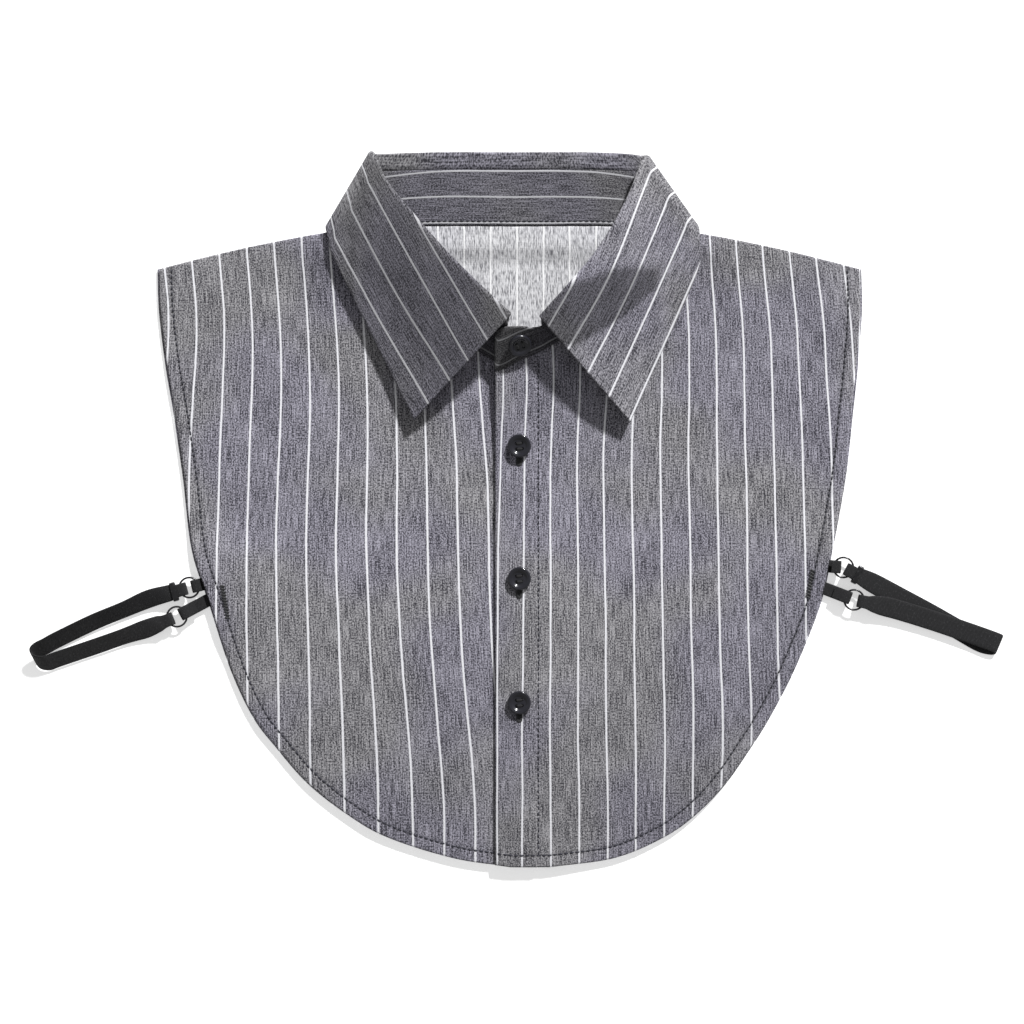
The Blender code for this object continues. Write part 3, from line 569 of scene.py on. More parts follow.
def front_bottom(seam, cloth, lap):
    """A front half's lower face: its base, raised to the stand's foot along the neck."""

    def bottom(plan):
        base = front_base(plan, lap)
        away, foot = near_line(plan, seam)
        raised = np.maximum(foot - cloth / 2 - base, 0)
        return base + raised * np.exp(-((away / NECK_SPREAD) ** 2))

    return bottom


def hem_height(x):
    """The hem's y at x, near the bottom middle."""
    points = np.vstack(SIDE_LINES)
    low = points[points[:, 1] < SHOULDER_Y - 0.85 * BIB_DROP]
    low = low[low[:, 0].argsort()]
    return float(np.interp(x, low[:, 0], low[:, 1]))


# Meshes


def make_object(name, points, faces, surfaces, slots=None, uvs=None, crease=40):
    """An object of a mesh, with its materials, a material number for each face, and UVs."""
    mesh = bpy.data.meshes.new(name)
    mesh.from_pydata([tuple(p) for p in points], [], faces)
    for surface in surfaces:
        mesh.materials.append(surface)
    if slots is not None:
        mesh.polygons.foreach_set("material_index", np.asarray(slots, np.int32))
    corners = np.zeros(len(mesh.loops), np.int32)
    mesh.loops.foreach_get("vertex_index", corners)
    for key, values in (uvs or {}).items():
        layer = mesh.uv_layers.new(name=key)
        layer.data.foreach_set("uv", np.asarray(values, np.float32)[corners].ravel())
    mesh.shade_smooth()
    mesh.set_sharp_from_angle(angle=math.radians(crease))
    obj = bpy.data.objects.new(name, mesh)
    bpy.context.scene.collection.objects.link(obj)
    return obj


def dress(obj, slot, *nodes):
    """Puts a piece on the one body and hides the solids it stands for; slot is not used."""
    if nodes:
        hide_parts(*nodes)
    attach(obj, "root")
    return obj


def wall(low, high, faces):
    """Points and faces of a closed wall between two like sheets: high side, low side and rim."""
    count = len(high)
    faces = [tuple(face) for face in faces]
    edges = {pair for face in faces for pair in zip(face, face[1:] + face[:1])}
    rim = [(b, a, a + count, b + count) for a, b in sorted(edges) if (b, a) not in edges]
    under = [tuple(i + count for i in reversed(face)) for face in faces]
    return np.vstack([high, low]), faces, under, rim


def grid_faces(rows, columns):
    index = np.arange(rows * columns).reshape(rows, columns)
    corners = (index[:-1, :-1], index[1:, :-1], index[1:, 1:], index[:-1, 1:])
    return np.stack([corner.ravel() for corner in corners], axis=1).tolist()


def cloth_piece(name, low, high, faces, surfaces, weave, stripe_and_shade, folded=None):
    """A closed sheet, right side out, with its wrong side (surface 1) on one face but for the hem.

    surfaces are the high side's and the low side's; folded is true at points of a turned hem.
    """
    points, top, under, rim = wall(low, high, faces)
    turned_in = [folded is not None and all(folded[i] for i in face) for face in faces]
    right = surfaces.index(OUTSIDE) if OUTSIDE in surfaces else 0
    low_slot = len(surfaces) - 1
    slots = [right if turn else 0 for turn in turned_in]
    slots += [right if turn else low_slot for turn in turned_in] + [right] * len(rim)
    uvs = {"weave": np.vstack([weave, weave]), "stripe_and_shade": np.vstack([stripe_and_shade, stripe_and_shade])}
    return make_object(name, points, top + under + rim, surfaces, slots, uvs, CLOTH_CREASE)


def stripe_numbers(table, across, along):
    """The stripe number at points, from where known stripes cross some level lines."""
    shifts = STRIPE_BLUR * np.linspace(-1, 1, 7)
    return sum(stripe_reading(table, across, along + shift) for shift in shifts) / len(shifts)


def stripe_reading(table, across, along):
    numbers, rows = table
    found = []
    for _, *crossings in rows:
        order = np.argsort(crossings)
        x, n = np.array(crossings)[order], np.array(numbers, float)[order]
        value = np.interp(across, x, n)
        first, last = (n[1] - n[0]) / (x[1] - x[0]), (n[-1] - n[-2]) / (x[-1] - x[-2])
        value = np.where(across < x[0], n[0] + (across - x[0]) * first, value)
        found.append(np.where(across > x[-1], n[-1] + (across - x[-1]) * last, value))
    found = np.array(found)
    place = np.interp(along, [row[0] for row in rows], np.arange(len(rows)))
    index = np.minimum(place.astype(int), len(rows) - 2)
    share = place - index
    pick = np.arange(len(across))
    return found[index, pick] * (1 - share) + found[index + 1, pick] * share


# Materials


class Surface:
    """A new material, and short ways to add nodes to it."""

    def __init__(self, name, **fixed):
        self.made = bpy.data.materials.new(name)
        self.made.use_nodes = True
        self.tree = self.made.node_tree
        self.shader = self.tree.nodes["Principled BSDF"]
        for key, value in fixed.items():
            self.shader.inputs[key.replace("_", " ")].default_value = value

    def put(self, socket, value):
        if isinstance(value, bpy.types.NodeSocket):
            self.tree.links.new(value, socket)
        else:
            socket.default_value = value

    def node(self, kind, *values, **settings):
        made = self.tree.nodes.new("ShaderNode" + kind)
        for key, value in settings.items():
            setattr(made, key, value)
        for socket, value in zip(made.inputs, values):
            self.put(socket, value)
        return made

    def math(self, operation, *values):
        return self.node("Math", *values, operation=operation).outputs[0]

    def uv(self, name):
        split = self.node("SeparateXYZ", self.node("UVMap", uv_map=name).outputs[0])
        return split.outputs[0], split.outputs[1]

    def vector(self, x, y):
        return self.node("CombineXYZ", x, y).outputs[0]

    def grain(self, x, y, across, along, detail=0.0):
        """Noise of a number of grains to the centimetre across and along the threads."""
        place = self.vector(self.math("MULTIPLY", x, across), self.math("MULTIPLY", y, along))
        made = self.node("TexNoise", place)
        made.inputs["Scale"].default_value = 1.0
        made.inputs["Detail"].default_value = detail
        return made.outputs[0]

    def ramp(self, value, low, high, start=0.0, end=1.0):
        kind = "SMOOTHSTEP"
        return self.node("MapRange", value, low, high, start, end, interpolation_type=kind).outputs[0]

    def mix(self, share, first, second, blend="MIX"):
        made = self.node("Mix", data_type="RGBA", blend_type=blend)
        self.put(made.inputs[0], share)
        for socket, value in ((made.inputs[6], first), (made.inputs[7], second)):
            self.put(socket, value if isinstance(value, bpy.types.NodeSocket) else (*value, 1.0))
        return made.outputs[2]

    def colour(self, value):
        self.put(self.shader.inputs["Base Color"], value)

    def bump(self, height, distance, strength=1.0):
        made = self.node("Bump")
        made.inputs["Strength"].default_value = strength
        made.inputs["Distance"].default_value = distance
        self.put(made.inputs["Height"], height)
        self.put(self.shader.inputs["Normal"], made.outputs[0])


THREADS = 28.0  # to the centimetre


def woven(made, x, y):
    """A plain weave: 1 where a warp thread lies on top, 0 where a weft thread does."""
    across = made.math("SINE", made.math("MULTIPLY", x, math.pi * THREADS))
    along = made.math("SINE", made.math("MULTIPLY", y, math.pi * THREADS))
    return made.math("MULTIPLY_ADD", made.math("MULTIPLY", across, along), 0.5, 0.5)


def weighted(made, start, *terms):
    """start plus each term's weight times how far its value is from one half."""
    total = start
    for value, weight in terms:
        centred = made.math("SUBTRACT", value, 0.5)
        total = made.math("MULTIPLY_ADD", centred, weight, total)
    return total


def chambray(name, dark, pale, stripe, terms, mean, tints):
    """Dark warp and pale weft with white stripes along the warp; a second UV layer holds the stripe number and painted
    shade.
    """
    made = Surface(name, Roughness=0.92, Sheen_Weight=0.12, Sheen_Roughness=0.5)
    x, y = made.uv("weave")
    number, painted_shade = made.uv("stripe_and_shade")
    speck_size, speck, streak_size, streak, cross = terms
    weave = woven(made, x, y)
    specks = made.grain(x, y, *speck_size, 1.0)
    streaks = made.grain(x, y, *streak_size)
    crosses = made.grain(x, y, streak_size[1], streak_size[0])
    blotch = made.grain(x, y, 0.45, 0.30, 2.0)
    patch = made.grain(y, x, 0.14, 0.11, 1.0)
    parts = ((specks, speck), (streaks, streak), (crosses, cross), (weave, 0.18), (blotch, 0.50))
    share = made.node("Clamp", weighted(made, mean, *parts)).outputs[0]
    cloth = made.mix(share, dark, pale)
    tint = made.mix(made.ramp(patch, 0.42, 0.60), *tints)
    cloth = made.mix(1.0, cloth, tint, "MULTIPLY")

    drift = made.grain(x, y, 0.5, 0.22, 1.0)
    number = weighted(made, number, (drift, 0.07))
    off = made.math("ABSOLUTE", made.math("SUBTRACT", number, made.math("ROUND", number)))
    off = weighted(made, off, (made.grain(x, y, 9.0, 7.0), 0.014))
    mask = made.ramp(off, 0.022, 0.044, 1.0, 0.0)
    cloth = made.mix(mask, cloth, stripe)
    # Painted shade: the colour multiplied by the shade from the second UV layer
    shade = made.node("CombineColor", painted_shade, painted_shade, painted_shade).outputs[0]
    made.colour(made.mix(1.0, cloth, shade, "MULTIPLY"))

    height = weighted(made, 0.0, (weave, 0.7), (specks, 0.8), (streaks, 0.5), (crosses, 0.4), (mask, 0.5))
    made.bump(height, 0.00012)
    return made.made


def thread_surface(name, colour):
    made = Surface(name, Roughness=0.6, Sheen_Weight=0.2)
    place = made.node("TexCoord").outputs["Object"]
    ply = made.node("TexNoise", place)
    ply.inputs["Scale"].default_value = 2500.0
    bright = made.ramp(ply.outputs[0], 0.3, 0.7)
    made.colour(made.mix(bright, tuple(0.5 * c for c in colour), tuple(1.5 * c for c in colour)))
    made.bump(ply.outputs[0], 0.0001)
    return made.made


def elastic_surface():
    """Black woven elastic: fine ribs along it, crossed by painted highlights, pale specks in its colour."""
    made = Surface("black_elastic", Roughness=0.8, Sheen_Weight=0.03)
    x, y = made.uv("weave")
    ribs = made.math("SINE", made.math("MULTIPLY", x, math.tau * 9))
    picks = made.math("SINE", made.math("MULTIPLY", y, math.tau * 14))
    glint_noise = made.grain(x, y, 9.0, 14.0, 2.0)
    # Painted highlights: pale specks where the noise is high
    glint = made.ramp(glint_noise, 0.55, 0.80)
    knit = made.math("MULTIPLY_ADD", made.math("MULTIPLY", ribs, picks), 0.5, 0.5)
    base = made.mix(knit, (0.003, 0.003, 0.0035), (0.009, 0.009, 0.011))
    made.colour(made.mix(glint, base, (0.045, 0.045, 0.05)))
    made.bump(weighted(made, 0.0, (knit, 1.0), (glint_noise, 0.6)), 0.00018)
    return made.made


def metal_surface():
    """Black coated wire, with the coat thin and a little brighter here and there."""
    made = Surface("coated_metal", Metallic=0.4, Roughness=0.33, Coat_Weight=0.5, Coat_Roughness=0.2)
    place = made.node("TexCoord").outputs["Object"]
    wear = made.node("TexNoise", place)
    wear.inputs["Scale"].default_value = 600.0
    thin = made.ramp(wear.outputs[0], 0.55, 0.78)
    made.colour(made.mix(thin, (0.014, 0.014, 0.016), (0.07, 0.07, 0.075)))
    made.put(made.shader.inputs["Roughness"], made.ramp(wear.outputs[0], 0.3, 0.7, 0.22, 0.45))
    made.bump(wear.outputs[0], 0.00003)
    return made.made


def button_surface():
    """Glossy black resin with a faint cloud in it and fine polishing marks."""
    made = Surface("button_resin", Roughness=0.16, Coat_Weight=0.35, Coat_Roughness=0.06)
    place = made.node("TexCoord").outputs["Object"]
    cloud = made.node("TexNoise", place)
    cloud.inputs["Scale"].default_value = 220.0
    cloud.inputs["Detail"].default_value = 4.0
    made.colour(made.mix(cloud.outputs[0], (0.006, 0.006, 0.009), (0.022, 0.022, 0.030)))
    made.put(made.shader.inputs["Roughness"], made.ramp(cloud.outputs[0], 0.3, 0.7, 0.12, 0.24))
    made.bump(cloud.outputs[0], 0.00002)
    return made.made


def floor_surface():
    made = Surface("floor", Roughness=0.9, Emission_Strength=0.5)
    made.shader.inputs["Emission Color"].default_value = (1, 1, 1, 1)
    place = made.node("TexCoord").outputs["Object"]
    paper = made.node("TexNoise", place)
    paper.inputs["Scale"].default_value = 60.0
    made.colour(made.mix(paper.outputs[0], (0.93, 0.93, 0.93), (0.95, 0.95, 0.95)))
    return made.made


OUTSIDE = chambray(
    "chambray_outside",
    (0.028, 0.027, 0.038),
    (0.450, 0.444, 0.490),
    (0.86, 0.86, 0.90),
    ((15.0, 12.0), 2.5, (23.0, 0.9), 1.2, 0.25),
    0.415,
    ((0.985, 0.965, 1.035), (1.015, 1.01, 0.955)),
)
INSIDE = chambray(
    "chambray_inside",
    (0.17, 0.17, 0.19),
    (0.80, 0.80, 0.83),
    (0.97, 0.97, 0.98),
    ((17.0, 4.0), 2.2, (24.0, 1.6), 1.7, 0.1),
    0.66,
    ((0.99, 0.99, 1.0), (1.0, 1.0, 0.99)),
)
DARK_THREAD = thread_surface("dark_thread", (0.020, 0.020, 0.032))
BLACK_THREAD = thread_surface("black_thread", (0.012, 0.012, 0.014))
ELASTIC = elastic_surface()
METAL = metal_surface()
RESIN = button_surface()

# Bib panels

RIM_ROWS = np.array([0.3, 0.9, 1.8, 3.0, 4.3, 5.3, 6.0, 6.7, 7.8]) / 1000


def plan_mesh(outline):
    """Points and triangles inside an outline, with rows that follow its rim."""
    loop = np.array(outline)
    closed = np.column_stack([np.vstack([loop, loop[:1]]), np.zeros(len(loop) + 1)])
    before, after = np.roll(loop, 1, axis=0), np.roll(loop, -1, axis=0)
    along = unit(after - before)
    inward = np.column_stack([-along[:, 1], along[:, 0]])
    area = np.sum(loop[:, 0] * after[:, 1] - after[:, 0] * loop[:, 1])
    inward = inward if area > 0 else -inward
    found = []
    for depth in RIM_ROWS:
        row = loop + inward * depth
        away, _ = near_line(row, closed)
        found.append(row[away > depth * 0.97])
    low, high = loop.min(axis=0), loop.max(axis=0)
    step_y = CELL * math.sqrt(3) / 2
    for k, y in enumerate(np.arange(low[1], high[1], step_y)):
        x = np.arange(low[0] + (k % 2) * CELL / 2, high[0], CELL)
        row = np.column_stack([x, np.full(len(x), y)])
        away, _ = near_line(row, closed[:: 1])
        found.append(row[away > RIM_ROWS[-1] + CELL * 0.5])
    inner = np.vstack(found)
    _, first = np.unique(np.round(inner / (CELL * 0.22)).astype(int), axis=0, return_index=True)
    inner = inner[np.sort(first)]
    points = np.vstack([loop, inner]) * 1000
    count = len(loop)
    edges = [(i, (i + 1) % count) for i in range(count)]
    verts, _, faces, _, _, _ = delaunay_2d_cdt([Vector(p) for p in points], edges, [], 1, 1e-4)
    return np.array([tuple(v) for v in verts]) / 1000, [tuple(face) for face in faces]


def with_arc(line):
    """A plan line whose third value is the length along it."""
    line = np.array(line)[:, :2]
    return np.column_stack([line, arc_lengths(line)])


def moved_in(line, depth, side):
    """A plan line moved sideways, to the left of its run for side 1."""
    along = unit(np.gradient(line, axis=0))
    return line + np.column_stack([-along[:, 1], along[:, 0]]) * depth * side


def seam_relief(plan, seams):
    """The dip of stitch lines and the small puckers beside them."""
    total = np.zeros(len(plan))
    for line in seams:
        away, arc = near_line(plan, line)
        total -= SEAM_DIP * np.exp(-((away / 0.0005) ** 2))
        swing = np.sin(arc * math.tau / 0.0093 + 1.3 * np.sin(arc * math.tau / 0.034))
        total += PUCKER * swing * np.exp(-((away / 0.0030) ** 2)) * (1 + 0.5 * np.sin(arc * math.tau / 0.052))
    return total


def panel_sides(outline, hem, bottom, cloth, seams):
    """The lower and upper heights of a panel at points in plan."""
    closed = np.column_stack([np.vstack([outline, outline[:1]]), np.zeros(len(outline) + 1)])

    def sides(plan):
        rim, _ = near_line(plan, closed)
        hem_away, _ = near_line(plan, hem)
        depth = cloth(plan)
        lowest = bottom(plan)
        raised = HEM_RAISE * (1 - ease((hem_away - HEM_WIDTH * 0.93) / 0.0012))
        rounded = np.sqrt(1 - (1 - np.minimum(rim / RIM_ROUND, 1)) ** 2)
        thin = (1 - rounded) * depth * 0.38
        return lowest + thin, lowest + depth + raised + seam_relief(plan, seams) - thin

    return sides


def even(cloth):
    return lambda plan: np.full(len(plan), cloth)


def placket_cloth(plan):
    step = ease((plan[:, 0] - PLACKET_FOLD + 0.0006) / 0.0012)
    return PLACKET_CLOTH + (PANEL_CLOTH - PLACKET_CLOTH) * step


def table_stripes(table):
    return lambda plan: stripe_numbers(table, plan[:, 0] * 1000, plan[:, 1] * 1000)


def build_panel(name, outline, hem, sides, stripes, pitch, surfaces):
    plan, faces = plan_mesh(outline)
    folded = near_line(plan, hem)[0] < HEM_WIDTH * 1.05
    low, high = sides(plan)
    number = stripes(plan)
    weave = np.column_stack([number * pitch, plan[:, 1]]) * 100
    # Painted shade: the cloth darker towards the hem, where the light falls off
    painted_shade = 1 - HEM_PAINTED_SHADE * ease((SHOULDER_Y - 0.12 - plan[:, 1]) / 0.16)
    # Painted shade: a dark line along the hem's stitch groove
    painted_shade *= 1 - GROOVE_PAINTED_SHADE * np.exp(-(((near_line(plan, hem)[0] - HEM_WIDTH) / 0.0006) ** 2))
    stripe_and_shade = np.column_stack([number, painted_shade])
    below = np.column_stack([plan, low])
    above = np.column_stack([plan, high])
    obj = cloth_piece(name + "_cloth", below, above, faces, surfaces, weave, stripe_and_shade, folded)
    return dress(obj, name, name)


def stitch_shape():
    """Rings of one stitch: share along it, radius share and height share, deep at both ends."""
    return ((0.00, 0.30, -0.9), (0.12, 0.85, 0.0), (0.35, 1.0, 0.55), (0.65, 1.0, 0.55), (0.88, 0.85, 0.0), (1.0, 0.30, -0.9))


def stitch_row(path, ups, length=STITCH_LENGTH, gap=STITCH_GAP, radius=THREAD_RADIUS, sides=6):
    """Points and faces of a row of stitches along a fine path on the cloth."""
    arcs = arc_lengths(path)
    count = int(arcs[-1] / (length + gap))
    starts = (np.arange(count) + 0.1) * arcs[-1] / count
    random = np.random.default_rng(count)
    angles = np.arange(sides) * math.tau / sides
    points, faces = [], []
    for start in starts:
        sway = random.normal(0, 0.00006, 2)
        for k, (share, wide, high) in enumerate(stitch_shape()):
            at = start + share * length
            spot = np.array([np.interp(at, arcs, path[:, i]) for i in range(3)])
            nxt = np.array([np.interp(at + 0.0004, arcs, path[:, i]) for i in range(3)])
            prv = np.array([np.interp(at - 0.0004, arcs, path[:, i]) for i in range(3)])
            up = unit(np.array([np.interp(at, arcs, ups[:, i]) for i in range(3)]))
            side = unit(np.cross(up, nxt - prv))
            centre = spot + up * high * radius + side * (sway[0] + (sway[1] - sway[0]) * share)
            base = len(points)
            for angle in angles:
                points.append(centre + (side * math.cos(angle) + up * math.sin(angle)) * radius * wide)
            if k:
                for i in range(sides):
                    j = (i + 1) % sides
                    faces.append((base - sides + i, base - sides + j, base + j, base + i))
            else:
                faces.append(tuple(base + i for i in reversed(range(sides))))
        last = len(points) - sides
        faces.append(tuple(last + i for i in range(sides)))
    return points, faces


def stitches(name, slot, rows, surface=None):
    """One object of all the stitches of some rows."""
    return dress(make_object(name, *joined(rows), [surface or DARK_THREAD]), slot)


def lying(line, sides):
    """A plan line set on a panel's upper face, with its ups."""
    line = filled(line[:, :2], 0.0012)
    _, high = sides(line)
    return np.column_stack([line, high]), np.tile([0.0, 0.0, 1.0], (len(line), 1))


def build_bib():
    left, back, right = neck_seams()
    left_side, right_side = SIDE_LINES
    necks = [neck_point(-1), neck_point(1)]
    show = np.array([1 + HEM_SHOW / BIB_HALF_WIDTH, 1])
    shoulders = (shoulder(necks[0], left_side[0]), shoulder(necks[1], right_side[0]))

    neck = pushed_out(back, 1)
    neck = neck[(neck[:, 0] > necks[0][0] + SEAM_GAP) & (neck[:, 0] < necks[1][0] - SEAM_GAP)]
    hem = np.vstack([right_side[:-1], left_side[::-1]]) * show
    line = np.vstack([necks[0], neck, necks[1], shoulders[1], hem, shoulders[0][::-1]])
    line = filled(np.vstack([line, line[:1]]), CELL)[:-1]
    seams = [with_arc(moved_in(hem, HEM_WIDTH, -1))]
    sides = panel_sides(line, with_arc(hem), back_bottom, even(PANEL_CLOTH), seams)
    number = lambda plan: (plan[:, 0] - BACK_STRIPE_X) / BACK_PITCH
    build_panel("back_panel", line, with_arc(hem), sides, number, BACK_PITCH, [INSIDE, OUTSIDE])

    edge = PLACKET_FOLD + UNDERLAP
    neck = pushed_out(left, 1)
    foot = (edge, neck[-1][1] - (edge - neck[-1][0]) * UNDERLAP_SLOPE)
    hem = np.vstack([(edge, hem_height(edge)), right_side[::-1][right_side[::-1][:, 0] < edge - CELL], left_side[::-1]])
    line = np.vstack([necks[0], neck[1:], foot, hem, shoulders[0][::-1]])
    line = filled(np.vstack([line, line[:1]]), CELL)[:-1]
    stitched = moved_in(hem, HEM_WIDTH, -1)
    bottom = front_bottom(left, PANEL_CLOTH, 0.0)
    under = panel_sides(line, with_arc(hem), bottom, even(PANEL_CLOTH), [with_arc(stitched)])
    stripes = table_stripes(FRONT_UNDER_STRIPES)
    build_panel("front_under", line, with_arc(hem), under, stripes, PANEL_PITCH, [OUTSIDE, INSIDE])
    stitches("front_under_hem_stitches", "front_under", [stitch_row(*lying(stitched, under))])
    tack = make_object("front_under_bar_tack", *bar_tack(*TACKS["left"], under), [BLACK_THREAD])
    dress(tack, "front_under")

    foot = pushed_out(right, -1)
    neck = foot[foot[:, 0] > PLACKET_EDGE + CELL]
    hem = left_side[left_side[:, 0] > PLACKET_EDGE + CELL]
    hem = np.vstack([(PLACKET_EDGE, hem_height(PLACKET_EDGE)), hem, right_side[::-1]])
    top = (PLACKET_EDGE, foot[:, 1].min())
    line = np.vstack([necks[1], neck[1:], top, hem, shoulders[1][::-1]])
    line = filled(np.vstack([line, line[:1]]), CELL)[:-1]
    stitched = moved_in(hem, HEM_WIDTH, 1)
    placket = np.array([(PLACKET_FOLD, foot[:, 1].min() + 0.004), (PLACKET_FOLD, hem_height(PLACKET_FOLD) + HEM_WIDTH)])
    placket = filled(placket, CELL)
    bottom = front_bottom(right, PLACKET_CLOTH, PANEL_CLOTH + GAP)
    over = panel_sides(line, with_arc(hem), bottom, placket_cloth, [with_arc(stitched), with_arc(placket)])
    stripes = table_stripes(FRONT_OVER_STRIPES)
    build_panel("front_over", line, with_arc(hem), over, stripes, PANEL_PITCH, [OUTSIDE, INSIDE])
    rows = [stitch_row(*lying(stitched, over)), stitch_row(*lying(placket, over))]
    stitches("front_over_stitches", "front_over", rows)
    tack = make_object("front_over_bar_tack", *bar_tack(*TACKS["right"], over), [BLACK_THREAD])
    dress(tack, "front_over")
    return over


# Collar


def grid_normals(middle):
    return unit(np.cross(np.gradient(middle, axis=0), np.gradient(middle, axis=1)))


def rim_share(rows, columns, middle, reach=RIM_ROUND):
    """1 inside a grid, falling to 0 at its rim over the reach, as a quarter round."""
    away = np.full((rows, columns), np.inf)
    for axis, size in ((0, rows), (1, columns)):
        steps = np.linalg.norm(np.diff(middle, axis=axis), axis=2)
        zero = np.zeros((1, columns) if axis == 0 else (rows, 1))
        arcs = np.concatenate([zero, np.cumsum(steps, axis=axis)], axis=axis)
        far = arcs[-1:, :] - arcs if axis == 0 else arcs[:, -1:] - arcs
        away = np.minimum(away, np.minimum(arcs, far))
    return np.sqrt(1 - (1 - np.minimum(away / reach, 1)) ** 2), away


def grid_cloth(name, middle, cloth, relief, number, along, pitch, painted_shade, surfaces):
    """A closed sheet round a grid of its middle points, with relief on both faces."""
    rows, columns = middle.shape[:2]
    normals = grid_normals(middle)
    rounded, _ = rim_share(rows, columns, middle)
    half = (cloth / 2 * (0.25 + 0.75 * rounded) + relief)[..., None]
    low = (middle - normals * half).reshape(-1, 3)
    high = (middle + normals * half).reshape(-1, 3)
    weave = np.column_stack([number.ravel() * pitch, along.ravel()]) * 100
    stripe_and_shade = np.column_stack([number.ravel(), painted_shade.ravel()])
    return cloth_piece(name, low, high, grid_faces(rows, columns), surfaces, weave, stripe_and_shade)


STAND_SHARES = np.concatenate([[0, 0.006, 0.02, 0.045], np.linspace(0.08, 0.92, 20), [0.955, 0.98, 0.994, 1]])


def build_stand():
    shares = STAND_SHARES[None, :, None]
    middle = STAND_FOOT[:, None] * (1 - shares) + STAND_TOP[:, None] * shares
    height = np.linalg.norm(STAND_TOP - STAND_FOOT, axis=1)[:, None] * STAND_SHARES
    around = np.tile(STAND_AROUND[:, None], (1, len(STAND_SHARES)))
    along = np.tile(arc_lengths((STAND_FOOT + STAND_TOP) / 2)[:, None], (1, len(STAND_SHARES)))
    number = (height - STAND_FIRST - STAND_DRIFT * around) / STAND_PITCH
    relief = BAND_RAISE * (1 - ease((height - 0.0016) / 0.0008))
    relief = relief + 0.00005 * np.sin(along * math.tau / 0.011) * np.exp(-((height / 0.004) ** 2))
    # Painted shade: the stand darker, and its tab at the front darker still
    painted_shade = STAND_PAINTED_SHADE + (TAB_PAINTED_SHADE - STAND_PAINTED_SHADE) * ease((around - 0.75) / 0.15)
    obj = grid_cloth(
        "collar_stand_cloth", middle, STAND_CLOTH, relief, number, along, STAND_PITCH, painted_shade, [OUTSIDE]
    )
    dress(obj, "collar_stand", "collar_stand")
    back = (STAND_AROUND < 0.26)
    share = FOOT_STITCH / STAND_HEIGHT
    path = (STAND_FOOT * (1 - share) + STAND_TOP * share)[back]
    path = path + np.array([0, 0, STAND_CLOTH / 2 + BAND_RAISE])
    ups = np.tile([0.0, 0.0, 1.0], (len(path), 1))
    stitches("stand_foot_stitches", "collar_stand", [stitch_row(path, ups, radius=FOOT_THREAD)])


CREST_STEPS = 15
FALL_SHARES = np.concatenate([np.linspace(0.03, 0.97, 32), [0.985, 0.995, 1.0]])


def leaf_grid():
    """The leaf's middle points: up from the stand, over the roll and down to its outer edge."""
    inner = RING_PLACES[1:-1]
    last = 2 * HALF_KEYS
    places = np.concatenate([RIM_STEPS, inner[inner > RIM_STEPS[-1] + 0.02]])
    places = np.concatenate([places[places < last - RIM_STEPS[-1] - 0.02], last - RIM_STEPS[::-1]])
    seam, roll, edge, way, offset, turn = ring_stations(places)
    start = seam + (roll - seam) * BAND_SHARE
    up = unit(roll - seam)
    start = start + up * GAP
    fall = edge + way * offset
    crest = roll + way * offset
    down = unit(fall - crest)
    columns = [start + (roll - start) * share for share in np.linspace(0, 1, 8)[:-1]]
    for angle in np.linspace(0, math.pi, CREST_STEPS):
        blend = unit(up * (1 - angle / math.pi) - down * (angle / math.pi))
        reach = offset / 2
        columns.append(roll + way * reach * (1 - math.cos(angle)) + blend * reach * math.sin(angle))
    front = ease((way[:, 2:] - 0.8) / 0.2)
    for share in FALL_SHARES:
        crown = LEAF_CROWN * math.sin(math.pi * share) * front
        columns.append(crest + (fall - crest) * share + way * crown)
    return np.stack(columns, axis=1), places, front


